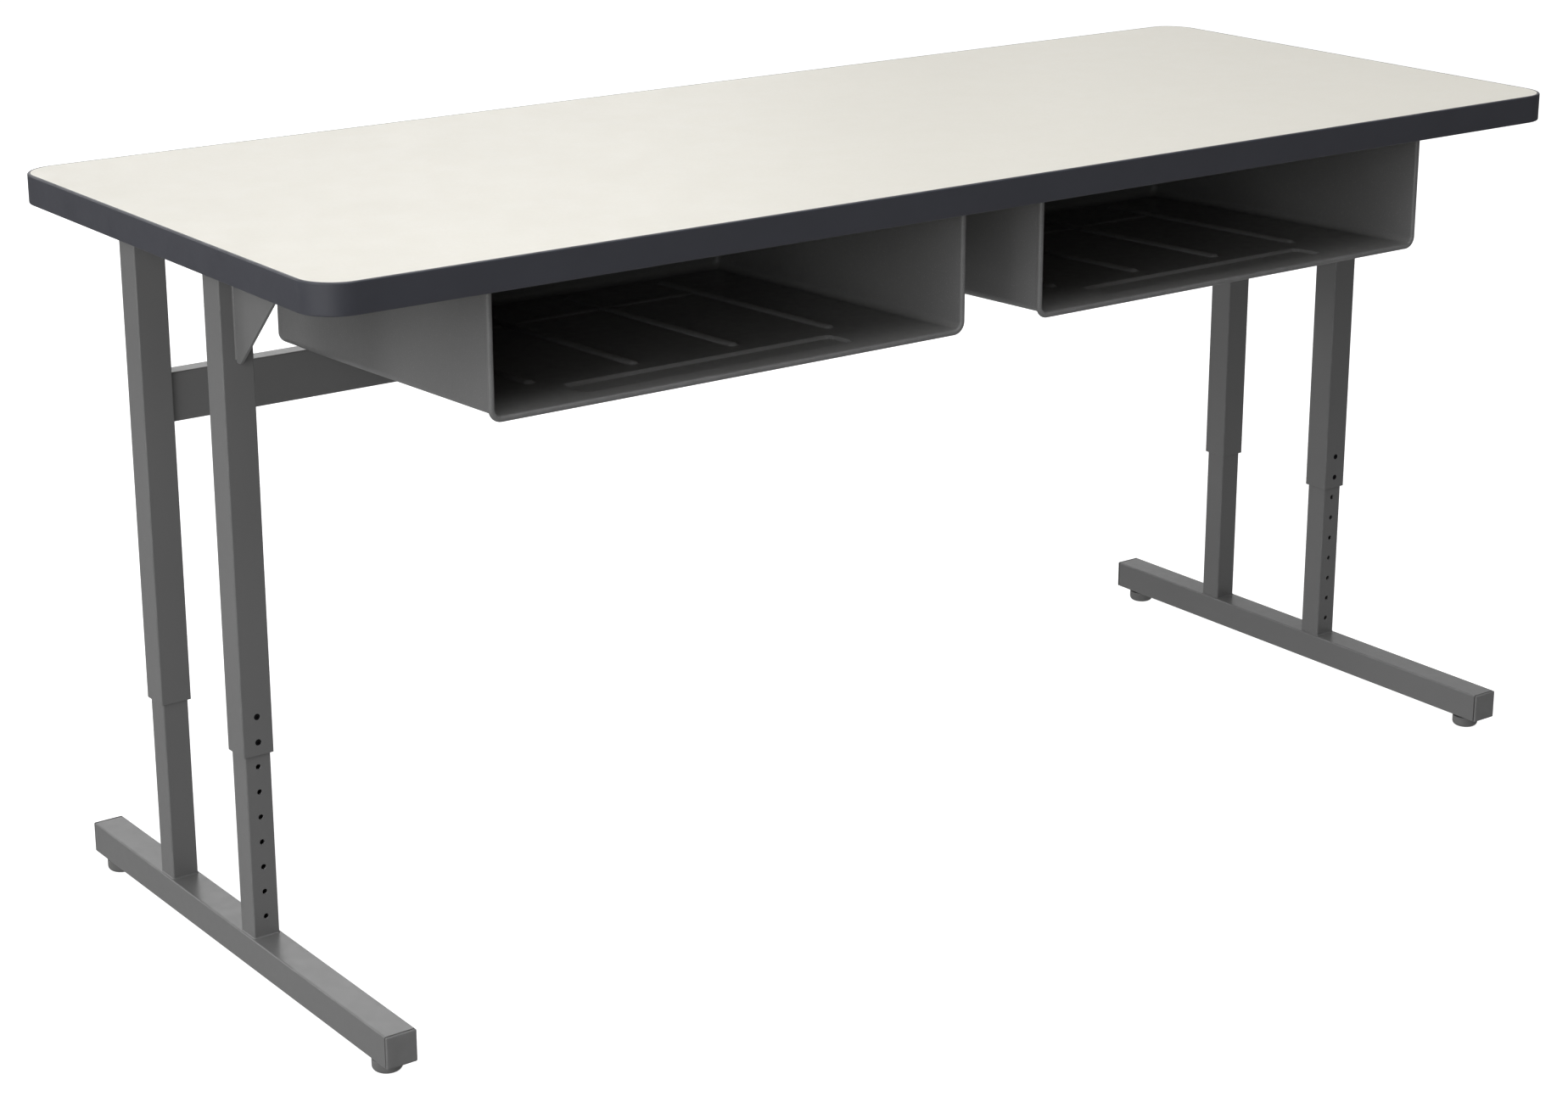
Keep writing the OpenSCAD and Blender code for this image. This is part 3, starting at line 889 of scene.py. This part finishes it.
class DESK_OT_straps_and_gussets(bpy.types.Operator):
    """Build the straps on top of the uprights and the gussets under them"""

    bl_idname = "desk.straps_and_gussets"
    bl_label = "Straps and Gussets"

    def execute(self, context):
        sizes = context.scene.desk_tubes
        for side in SIDES:
            lo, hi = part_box(f"{side}_top_rail")
            corners = [(lo.x, lo.y), (hi.x, lo.y), (hi.x, hi.y), (lo.x, hi.y)]
            outline = [Vector((x, y, lo.z)) for x, y in corners]
            thick = Vector((0, 0, hi.z - lo.z))
            strap = plate(outline, thick, sizes.plate_ease, f"{side}_top_rail_strap")
            settle(strap, "upper_frame", "frame_paint", [f"{side}_top_rail"])
            lo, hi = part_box(f"{side}_gusset")
            profile = [
                (hi.y, lo.z),
                (hi.y - sizes.gusset_nose, lo.z),
                (lo.y, hi.z),
                (hi.y, hi.z),
            ]
            outline = [Vector((lo.x, y, z)) for y, z in profile]
            thick = Vector((hi.x - lo.x, 0, 0))
            web = plate(outline, thick, sizes.plate_ease, f"{side}_gusset_web")
            settle(web, "upper_frame", "frame_paint", [f"{side}_gusset"])
        return {"FINISHED"}


def weld_round_tube(bm, centre, z, w, d, corner_r, size, up):
    """A weld round a square tube that stands on a flat face at height z."""
    outline, _ = round_outline(w, d, corner_r, steps=5)
    path, out = [], []
    for i, (x, y) in enumerate(outline):
        nx, ny = outline[(i + 1) % len(outline)]
        here, there = outward(x, y, w, d, corner_r), outward(nx, ny, w, d, corner_r)
        start = Vector((centre.x + x, centre.y + y, z))
        stop = Vector((centre.x + nx, centre.y + ny, z))
        count = max(1, int(hypot(nx - x, ny - y) / RIPPLE))
        for k in range(count):
            path.append(start.lerp(stop, k / count))
            out.append(here.lerp(there, k / count).normalized())
    add_weld(bm, path, out, [Vector((0, 0, up))] * len(path), size, closed=True)


class DESK_OT_welds(bpy.types.Operator):
    """Build the painted weld beads of the leg frames"""

    bl_idname = "desk.welds"
    bl_label = "Welds"

    def execute(self, context):
        sizes = context.scene.desk_tubes
        for side, sx in SIDES.items():
            self.leg_welds(sizes, side)
            self.frame_welds(sizes, side, sx)
        return {"FINISHED"}

    def leg_welds(self, sizes, side):
        """Welds round the leg tubes on the foot."""
        for end in ENDS:
            node = f"{side}_{end}_leg_tube"
            lo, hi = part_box(node)
            bm = new_mesh()
            weld_round_tube(
                bm, (lo + hi) / 2, lo.z, hi.x - lo.x, hi.y - lo.y, sizes.leg_corner_r,
                sizes.weld * 0.7, 1.0,
            )
            piece = object_from(bm, f"{side}_{end}_leg_weld")
            settle(piece, f"{side}_leg", "frame_paint", sharp=60)

    def frame_welds(self, sizes, side, sx):
        """Welds of the uprights under the strap, and of the gusset and the beam."""
        bm = new_mesh()
        for end in ENDS:
            lo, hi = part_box(f"{side}_{end}_upright")
            for face in (-1, 1):
                y = lo.y if face < 0 else hi.y
                start = Vector((lo.x + sizes.corner_r, y, hi.z))
                stop = Vector((hi.x - sizes.corner_r, y, hi.z))
                path = spread_points(start, stop, RIPPLE)
                out = [Vector((0, face, 0))] * len(path)
                add_weld(bm, path, out, [Vector((0, 0, -1))] * len(path), sizes.weld)
        lo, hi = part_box(f"{side}_gusset")
        for x, face in ((lo.x, -1), (hi.x, 1)):
            path = spread_points(Vector((x, hi.y, lo.z + 3 * MM)), Vector((x, hi.y, hi.z)), RIPPLE)
            out = [Vector((face, 0, 0))] * len(path)
            add_weld(bm, path, out, [Vector((0, -1, 0))] * len(path), sizes.weld)
            path = spread_points(Vector((x, lo.y + 6 * MM, hi.z)), Vector((x, hi.y, hi.z)), RIPPLE)
            out = [Vector((face, 0, 0))] * len(path)
            add_weld(bm, path, out, [Vector((0, 0, -1))] * len(path), sizes.weld)
        lo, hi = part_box("stretcher_beam")
        x = lo.x if sx < 0 else hi.x
        for y, face in ((lo.y, -1), (hi.y, 1)):
            start = Vector((x, y, lo.z + sizes.corner_r))
            path = spread_points(start, Vector((x, y, hi.z - sizes.corner_r)), RIPPLE)
            out = [Vector((0, face, 0))] * len(path)
            add_weld(bm, path, out, [Vector((-sx, 0, 0))] * len(path), sizes.weld * 0.8)
        piece = object_from(bm, f"{side}_frame_welds")
        settle(piece, "upper_frame", "frame_paint", sharp=60)


# ---- Book boxes ----


def smooth_step(low, high, value):
    """0 below low, 1 above high, and a smooth turn between."""
    share = max(0.0, min(1.0, (value - low) / (high - low)))
    return share * share * (3 - 2 * share)


def graded(start, stop, features, fine, coarse):
    """Positions from start to stop, fine steps apart inside the features and coarse ones outside."""
    found, here = [start], start
    while here < stop - fine / 2:
        step = coarse
        for low, high in features:
            if low - fine / 2 <= here < high:
                step = fine
            elif here < low < here + step:
                step = max(fine, low - here)
        here = min(stop, here + step)
        found.append(here)
    return found


class BoxShape:
    """The middle surface of a pressed book box; x from its middle, y from its front edge."""

    def __init__(self, sizes, node):
        self.s = sizes
        lo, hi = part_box(node)
        self.middle_x = (lo.x + hi.x) / 2
        self.front = lo.y
        self.rear = hi.y - sizes.flange - sizes.sheet / 2 - lo.y
        self.half = (hi.x - lo.x) / 2 - sizes.flange - sizes.sheet / 2
        self.flange_z = hi.z - sizes.sheet / 2
        self.box_top = hi.z
        self.floor_front = hi.z - sizes.front_drop + sizes.roll_out + sizes.sheet / 2

    def floor_z(self, y):
        """Height of the flat floor at depth y."""
        return self.floor_front - y * tan(self.s.fall)

    def bend_r(self, y):
        """Bend radius between floor and side wall at depth y."""
        s = self.s
        growth = smooth_step(self.rear - 70 * MM, self.rear - 15 * MM, y)
        return s.corner_r + (s.rear_corner_r - s.corner_r) * growth

    def pressed(self, x, y):
        """How far the floor is pressed up or down at a place."""
        s = self.s
        dx = max(abs(x) - s.tray_l / 2 + s.tray_r, 0.0)
        dy = max(abs(y - s.tray_from_front) - s.tray_w / 2 + s.tray_r, 0.0)
        inside = s.tray_r - hypot(dx, dy)
        height = -s.tray_depth * smooth_step(-0.5 * MM, s.draft, inside)
        along = max(s.bead_start - y, 0.0, y - s.bead_end)
        for n in LONG_BEADS:
            away = hypot(x - n * s.bead_pitch, along)
            height += s.bead_h * self.crown(away / s.bead_half)
        reach = s.bead_pitch / 2 - s.cross_gap
        for n in CROSS_BEADS:
            over = max(abs(x - n * s.bead_pitch) - reach, 0.0)
            away = hypot(over, y - s.cross_at)
            height += s.cross_h * self.crown(away / s.cross_half)
        return height

    def crown(self, share):
        """Height of a bead's round section, 1 at its middle and 0 at its foot."""
        return max(0.0, 1 - share * share) ** 0.75

    def floor_columns(self):
        """Places across the floor, close together where it is pressed."""
        s = self.s
        flat_half = self.half - s.rear_corner_r
        features = [
            (n * s.bead_pitch - s.bead_half - s.cross_gap, n * s.bead_pitch + s.bead_half + s.cross_gap)
            for n in LONG_BEADS
        ]
        for sx in (-1, 1):
            end = sx * s.tray_l / 2
            features.append((end - s.tray_r - 1 * MM, end + s.tray_r * 0.3 + 1 * MM))
        return graded(-flat_half, flat_half, features, s.fine, s.coarse)

    def depth_rows(self):
        """Depths behind the rolled edge, close together where the floor is pressed."""
        s = self.s
        tray_half = s.tray_w / 2 + 1.5 * MM
        features = [
            (s.tray_from_front - tray_half, s.tray_from_front + tray_half),
            (s.bead_start - s.bead_half - 1 * MM, s.bead_start + 2 * MM),
            (s.cross_at - s.cross_half - 1 * MM, s.cross_at + s.cross_half + 1 * MM),
            (s.bead_end - 2 * MM, s.bead_end + s.bead_half + 1 * MM),
        ]
        stop = self.rear - s.rear_round
        return graded(s.roll_depth, stop, features, s.fine, s.coarse)

    def row(self, y, out, top, columns):
        """One row across the box at depth y, stood off outwards by out, from wall to wall."""
        r = self.bend_r(y)
        floor = self.floor_z(y)
        reach = self.half - r
        bend = arc(-reach, floor + r, r + out, 180, 270, 8)
        wall = [(-self.half - out, top + (floor + r - top) * k / 6) for k in range(6)]
        scale = reach / max(columns)
        flat = [
            (x * scale, floor - out + (self.pressed(x * scale, y) if out == 0 else 0.0))
            for x in columns[1:-1]
        ]
        left = wall + bend
        right = [(-x, z) for x, z in reversed(left)]
        return [self.point(x, y, z) for x, z in left + flat + right]

    def point(self, x, y, z):
        """A place of the box in the desk's frame."""
        return Vector((self.middle_x + x, self.front + y, z))

    def surface(self):
        """The whole middle surface as an open mesh."""
        s = self.s
        bm = new_mesh()
        layer = bm.verts.layers.float["edge"]
        columns = self.floor_columns()
        wall_top = self.flange_z - s.flange_bend
        swing = s.roll_out / 2
        roll_r = (s.roll_depth - s.sheet) / 2
        mid_y = s.roll_depth / 2
        roll = []
        for i in range(15):
            turn = radians(285 * (1 - i / 14))
            roll.append((mid_y - roll_r * sin(turn), swing * (1 - cos(turn)), turn))
        rows, wear = [], []
        roll_top = self.box_top - 0.2 * MM
        for y, out, turn in roll:
            rows.append(self.row(y, out, roll_top, columns))
            wear.append(max(0.0, sin(min(turn, pi))) * RUBBED)
        first_body = len(rows)
        for y in self.depth_rows():
            rows.append(self.row(y, 0.0, wall_top, columns))
            wear.append(0.0)
        last_body = len(rows) - 1
        for i in range(1, 9):
            turn = radians(90 * i / 8)
            y = self.rear - s.rear_round * (1 - sin(turn))
            rows.append(self.row(y, -s.rear_round * (1 - cos(turn)), wall_top, columns))
            wear.append(0.0)
        verts = []
        for points, share in zip(rows, wear):
            row = [bm.verts.new(p) for p in points]
            for vert in row:
                vert[layer] = share
            verts.append(row)
        for a, b in zip(verts, verts[1:]):
            for i in range(len(a) - 1):
                bm.faces.new((a[i], a[i + 1], b[i + 1], b[i]))
        bm.faces.new(verts[-1])
        self.side_flanges(bm, verts[first_body : last_body + 1])
        self.rear_flange(bm, verts[-1][0], verts[-1][-1])
        return bm

    def flange_section(self):
        """Section of a flange as (out, z) steps from the top of the wall."""
        s = self.s
        r = s.flange_bend
        bend = [
            (r * (1 - cos(radians(18 * i))), self.flange_z - r + r * sin(radians(18 * i)))
            for i in range(1, 6)
        ]
        return bend + [(s.flange + s.sheet / 2, self.flange_z)]

    def side_flanges(self, bm, rows):
        """Flanges bent outwards along the two side walls."""
        for sx, column in ((-1, 0), (1, -1)):
            previous = [row[column] for row in rows]
            for out, z in self.flange_section():
                line = []
                for vert in previous:
                    line.append(bm.verts.new((self.middle_x + sx * (self.half + out), vert.co.y, z)))
                for i in range(len(line) - 1):
                    bm.faces.new((previous[i], previous[i + 1], line[i + 1], line[i]))
                previous = line

    def rear_flange(self, bm, left, right):
        """Flange bent outwards along the top of the rear wall."""
        previous = (left, right)
        for out, z in self.flange_section():
            y = self.front + self.rear + out
            line = tuple(bm.verts.new((vert.co.x, y, z)) for vert in previous)
            bm.faces.new((previous[0], previous[1], line[1], line[0]))
            previous = line


class DESK_OT_book_boxes(bpy.types.Operator):
    """Press the two book boxes: rolled front edge, beads, pencil tray and flanges"""

    bl_idname = "desk.book_boxes"
    bl_label = "Book Boxes"

    def execute(self, context):
        sizes = context.scene.desk_boxes
        for side in SIDES:
            node = f"{side}_book_box"
            piece = object_from(BoxShape(sizes, node).surface(), f"{node}_shell")
            sheet = piece.modifiers.new("sheet", "SOLIDIFY")
            sheet.thickness = sizes.sheet
            sheet.offset = 0.0
            sheet.use_even_offset = True
            apply_modifiers(piece)
            settle(piece, "upper_frame", "box_paint", [node], sharp=50)
        return {"FINISHED"}


# ---- Screws, caps and glides ----


def pan_head_screw(sizes):
    """One pan-head wood screw, head down, with its bearing face at z = 0 and a cross recess."""
    r, h = sizes.screw_head_r, sizes.screw_head_h
    crown = 0.9 * MM
    recess_l, recess_w = 2.3 * MM, 0.55 * MM  # half length and half width of a recess bar
    above, below, taper = 0.5 * MM, 1.5 * MM, 0.55
    bm = new_mesh()
    profile = [(0.0, -h)]
    profile += [(r * sin(radians(a)), -h + crown * (1 - cos(radians(a)))) for a in (12, 24, 36)]
    profile += [(r * 0.82, -h * 0.80), (r * 0.95, -h * 0.55), (r, -h * 0.25), (r, 0.0)]
    profile += [(sizes.screw_r, 0.0), (sizes.screw_r, sizes.screw_l - 3 * MM), (0.0, sizes.screw_l)]
    lathe(bm, profile, Vector((0, 0, 0)), steps=32)
    screw = object_from(bm, "screw")
    cutter = new_mesh()
    for turn in (0, 1):
        wide, thin = (recess_w, recess_l) if turn else (recess_l, recess_w)
        loops = []
        for z, shrink in ((-h - above, 1.0), (-h + below, taper)):
            x = wide * (shrink if turn == 0 else 1.0)
            y = thin * (shrink if turn == 1 else 1.0)
            loops.append([Vector(p) for p in ((x, y, z), (-x, y, z), (-x, -y, z), (x, -y, z))])
        bars = new_mesh() if turn else cutter
        skin(bars, loops, caps=True)
        cut(screw, bars)
    return screw


class DESK_OT_screws(bpy.types.Operator):
    """Build the pan-head screws that hold the straps and the book boxes"""

    bl_idname = "desk.screws"
    bl_label = "Screws"

    def execute(self, context):
        sizes = context.scene.desk_fittings
        pattern = pan_head_screw(sizes)
        for node in ("top_rail_screws", "book_box_screws"):
            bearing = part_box(node)[0].z + sizes.screw_head_h
            bm = new_mesh()
            for n, (x, y) in enumerate(plan_middles(node, 2.2 * sizes.screw_head_r)):
                before = len(bm.verts)
                bm.from_mesh(pattern.data)
                bm.verts.ensure_lookup_table()
                turn = radians(37 * n)
                for vert in bm.verts[before:]:
                    px, py = vert.co.x, vert.co.y
                    vert.co.x = x + px * cos(turn) - py * sin(turn)
                    vert.co.y = y + px * sin(turn) + py * cos(turn)
                    vert.co.z += bearing
            piece = object_from(bm, f"{node}_set")
            settle(piece, "upper_frame", "screw_zinc", [node])
        mesh = pattern.data
        bpy.data.objects.remove(pattern)
        bpy.data.meshes.remove(mesh)
        return {"FINISHED"}


class DESK_OT_lock_parts(bpy.types.Operator):
    """Finish the liners, the lock screws and the glide nuts"""

    bl_idname = "desk.lock_parts"
    bl_label = "Liners, Lock Screws and Nuts"

    def execute(self, context):
        for side in SIDES:
            refinish("guide_plastic", *(f"{side}_{end}_liner" for end in ENDS))
            refinish("black_steel", f"{side}_lock_screws")
            refinish("screw_zinc", f"{side}_glide_nuts")
        return {"FINISHED"}


class DESK_OT_foot_caps(bpy.types.Operator):
    """Build the moulded caps in the ends of the feet"""

    bl_idname = "desk.foot_caps"
    bl_label = "Foot Caps"

    def execute(self, context):
        sizes = context.scene.desk_fittings
        tubes = context.scene.desk_tubes
        for side in SIDES:
            foot_lo, foot_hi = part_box(f"{side}_foot")
            for end, sy in ENDS.items():
                node = f"{side}_{end}_foot_cap"
                lo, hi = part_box(node)
                mouth = foot_lo.y if sy < 0 else foot_hi.y
                outer = abs((lo.y if sy < 0 else hi.y) - mouth)
                inner = abs((hi.y if sy < 0 else lo.y) - mouth)
                piece = self.cap(sizes, tubes, middle(node), mouth, sy, outer, inner, hi.x - lo.x)
                piece.name = f"{node}_moulding"
                settle(piece, f"{side}_leg", "cap_plastic", [node])
        return {"FINISHED"}

    def cap(self, sizes, tubes, centre, mouth, sy, outer, inner, side):
        """One cap; outer and inner are how far it reaches out of and into the foot."""
        r, corner = sizes.cap_round, tubes.corner_r
        back = sizes.cap_gap
        levels = [
            (sizes.cap_plug - 1.2 * MM, 1.0 * MM, -inner),
            (sizes.cap_plug, 1.2 * MM, -inner + 1.5 * MM),
            (sizes.cap_plug, 1.2 * MM, -0.4 * MM),
            (sizes.cap_boss, 1.5 * MM, 0.0),
            (sizes.cap_boss, 1.5 * MM, back),
            (side - 0.6 * MM, corner - 0.3 * MM, back),
            (side, corner, back + 0.3 * MM),
        ]
        for i in range(7):
            turn = radians(15 * i)
            shrink = r * (1 - cos(turn))
            level = outer - sizes.cap_crown - r * (1 - sin(turn))
            levels.append((side - 2 * shrink, max(corner - shrink, 0.8 * MM), level))
        levels.append((side - 2 * r - 2.4 * MM, 1.0 * MM, outer - 0.08 * MM))
        levels.append((side * 0.5, 1.0 * MM, outer))
        loops = []
        for wide, bend, level in levels:
            points, _ = round_outline(wide, wide, bend, steps=5)
            loops.append([Vector((centre.x + x, mouth + sy * level, centre.z + z)) for x, z in points])
        bm = new_mesh()
        rows = skin(bm, loops, caps=True)
        layer = bm.verts.layers.float["edge"]
        for row in rows[8:12]:
            for vert in row:
                vert[layer] = RUBBED
        return object_from(bm, "cap")


class DESK_OT_glides(bpy.types.Operator):
    """Build the levelling glides and their threaded stems"""

    bl_idname = "desk.glides"
    bl_label = "Glides"

    def execute(self, context):
        sizes = context.scene.desk_fittings
        for side in SIDES:
            for end in ENDS:
                body = f"{side}_{end}_glide"
                cup = self.cup(sizes, f"{body}_base")
                settle(cup, body, "glide_nylon", [f"{body}_base"])
                stem = self.stem(sizes, f"{body}_stem")
                settle(stem, body, "screw_zinc", [f"{body}_stem"], sharp=75)
        return {"FINISHED"}

    def cup(self, sizes, node):
        """A turned foot with a round lower edge and a socket for the stem."""
        lo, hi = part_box(node)
        r, top = (hi.x - lo.x) / 2, hi.z
        stem_lo, stem_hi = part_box(node.replace("base", "stem"))
        stem_r = (stem_hi.x - stem_lo.x) / 2
        low, rim = sizes.glide_round, sizes.glide_rim
        dish, ring = 0.3 * MM, 0.6 * MM  # depths of the dish underneath and the ring on top
        profile = [(0.0, dish), (4 * MM, dish), (5 * MM, 0.0)]
        profile += arc(r - low, low, low, -90, 0, 10)
        profile += [(r, (low + top) / 2)]
        profile += arc(r - rim, top - rim, rim, 0, 90, 5)
        profile += [(r - 3 * MM, top), (r - 3 * MM - ring, top - ring), (7 * MM, top - ring)]
        profile += [(6.4 * MM, top), (stem_r, top)]
        profile += [(stem_r, sizes.glide_socket), (0.0, sizes.glide_socket)]
        bm = new_mesh()
        lathe(bm, profile, Vector(((lo.x + hi.x) / 2, (lo.y + hi.y) / 2, 0)), steps=56)
        return object_from(bm, f"{node[:-5]}_cup")

    def stem(self, sizes, node):
        """A stem with a helical thread."""
        lo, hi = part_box(node)
        centre = Vector(((lo.x + hi.x) / 2, (lo.y + hi.y) / 2, lo.z))
        r, tall = (hi.x - lo.x) / 2, hi.z - lo.z
        around, per_turn = 20, 6  # mesh steps round the stem, and along it in one pitch
        levels = int(tall / sizes.thread_pitch * per_turn)
        loops = []
        for level in range(levels + 1):
            z = tall * level / levels
            plain = smooth_step(0, 1.5 * MM, min(z, tall - z))
            loop = []
            for i in range(around):
                turn = 2 * pi * i / around
                phase = (z / sizes.thread_pitch - i / around) % 1.0
                dip = sizes.thread_depth * (1 - abs(2 * phase - 1)) * plain
                taper = 0.5 * MM * (1 - plain)
                reach = r - dip - taper
                loop.append(centre + Vector((reach * cos(turn), reach * sin(turn), z)))
            loops.append(loop)
        bm = new_mesh()
        skin(bm, loops, caps=True)
        return object_from(bm, f"{node[:-5]}_screw")


# ---- Stage ----


# Where each soft light stands, where it points, and its width and height.
SOFT_LIGHTS = {
    "key": ((-3.6, -0.6, 1.5), (0, 0, 0.45), 3.0, 2.4),
    "front_key": ((-3.4, -2.8, 1.3), (0, 0, 0.45), 2.4, 2.2),
    "rear_key": ((-2.8, 3.4, 1.8), (0, 0, 0.45), 3.0, 2.4),
    "overhead": ((0.6, -0.3, 3.4), (0.2, 0, 0.7), 3.4, 2.6),
    "front_overhead": ((-0.9, -1.5, 3.2), (-0.4, -0.5, 0.3), 2.2, 1.6),
    "rear": ((1.6, 4.0, 1.6), (0, 0, 0.45), 4.0, 2.4),
    "rear_panel": ((1.3, 3.9, 2.45), (-0.5, -0.2, 0.8), 2.6, 1.5),
    "right_rear": ((3.7, 2.4, 1.5), (0.3, 0, 0.3), 2.2, 1.8),
    "low_rear": ((2.2, 4.6, 0.5), (0, 0, 0.3), 5.0, 1.2),
    "bounce": ((0, 0, -0.4), (0, 0, 1), 7.0, 6.0),
}


def soft_light(name, place, target, wide, tall, power):
    """A large soft light, aimed at a target and hidden from the camera."""
    data = bpy.data.lights.new(name, "AREA")
    data.shape = "RECTANGLE"
    data.size, data.size_y = wide, tall
    data.energy = power
    light = bpy.data.objects.new(name, data)
    bpy.context.scene.collection.objects.link(light)
    light.location = place
    light.rotation_euler = (Vector(target) - Vector(place)).to_track_quat("-Z", "Y").to_euler()
    light.visible_camera = False
    return light


class DESK_OT_stage(bpy.types.Operator):
    """Set up the pale floor, the studio light and the camera"""

    bl_idname = "desk.stage"
    bl_label = "Stage"

    def execute(self, context):
        stage = context.scene.desk_stage
        self.floor(context, stage)
        for name, (place, target, wide, tall) in SOFT_LIGHTS.items():
            soft_light(f"{name}_light", place, target, wide, tall, getattr(stage, name))
        world = bpy.data.worlds.new("studio")
        world.use_nodes = True
        around = world.node_tree.nodes["Background"]
        around.inputs["Color"].default_value = (1.0, 1.0, 1.0, 1.0)
        around.inputs["Strength"].default_value = stage.ambient
        context.scene.world = world
        context.scene.view_settings.view_transform = "Standard"
        self.camera(context, stage)
        return {"FINISHED"}

    def floor(self, context, stage):
        """A wide floor swept up at its far edge, whose own bounce is kept off the desk."""
        bm = new_mesh()
        bend = arc(FLOOR_R, FLOOR_SWEEP_R, FLOOR_SWEEP_R, -80, 0, 8)
        sweep = [(FLOOR_R, 0.0), *bend]
        rows = skin(bm, [[Vector((x, y, z)) for x, y in circle(r, 64)] for r, z in sweep])
        bm.faces.new(rows[0][::-1])
        ground = object_from(bm, "studio_floor")
        ground.data.shade_smooth()
        ground.data.materials.append(
            studio_floor(context.scene.desk_colours.floor, stage.floor_glow)
        )
        ground.visible_diffuse = False
        ground.visible_glossy = False
        ground.visible_shadow = False

    def camera(self, context, stage):
        """The camera, at the height of a standing person."""
        data = bpy.data.cameras.new("camera")
        data.lens = stage.lens
        data.shift_x, data.shift_y = stage.shift_x, stage.shift_y
        camera = bpy.data.objects.new("camera", data)
        context.scene.collection.objects.link(camera)
        camera.location = stage.camera_place
        camera.rotation_euler = stage.camera_turn
        context.scene.camera = camera


# ---- Panel and registration ----

STEPS = (
    DESK_OT_worktop,
    DESK_OT_edge_moulding,
    DESK_OT_uprights,
    DESK_OT_leg_tubes,
    DESK_OT_feet,
    DESK_OT_beam,
    DESK_OT_straps_and_gussets,
    DESK_OT_welds,
    DESK_OT_book_boxes,
    DESK_OT_screws,
    DESK_OT_lock_parts,
    DESK_OT_foot_caps,
    DESK_OT_glides,
    DESK_OT_stage,
)

SETTINGS = {
    "desk_top": DeskTopSizes,
    "desk_tubes": DeskTubeSizes,
    "desk_boxes": DeskBoxSizes,
    "desk_fittings": DeskFittingSizes,
    "desk_colours": DeskColours,
    "desk_stage": DeskStage,
}


class DESK_PT_panel(bpy.types.Panel):
    """Lists the desk's pieces"""

    bl_idname = "DESK_PT_panel"
    bl_label = "School Desk"
    bl_space_type = "VIEW_3D"
    bl_region_type = "UI"
    bl_category = "School Desk"

    def draw(self, context):
        for step in STEPS:
            self.layout.operator(step.bl_idname)
        for name in SETTINGS:
            group = getattr(context.scene, name)
            box = self.layout.box()
            for field in group.__annotations__:
                box.prop(group, field)


CLASSES = (*SETTINGS.values(), *STEPS, DESK_PT_panel)


def register():
    for cls in CLASSES:
        bpy.utils.register_class(cls)
    for name, group in SETTINGS.items():
        setattr(bpy.types.Scene, name, PointerProperty(type=group))


def unregister():
    for name in SETTINGS:
        delattr(bpy.types.Scene, name)
    for cls in reversed(CLASSES):
        bpy.utils.unregister_class(cls)


def main():
    register()
    for step in STEPS:
        group, call = step.bl_idname.split(".")
        getattr(getattr(bpy.ops, group), call)()


if __name__ == "__main__":
    main()
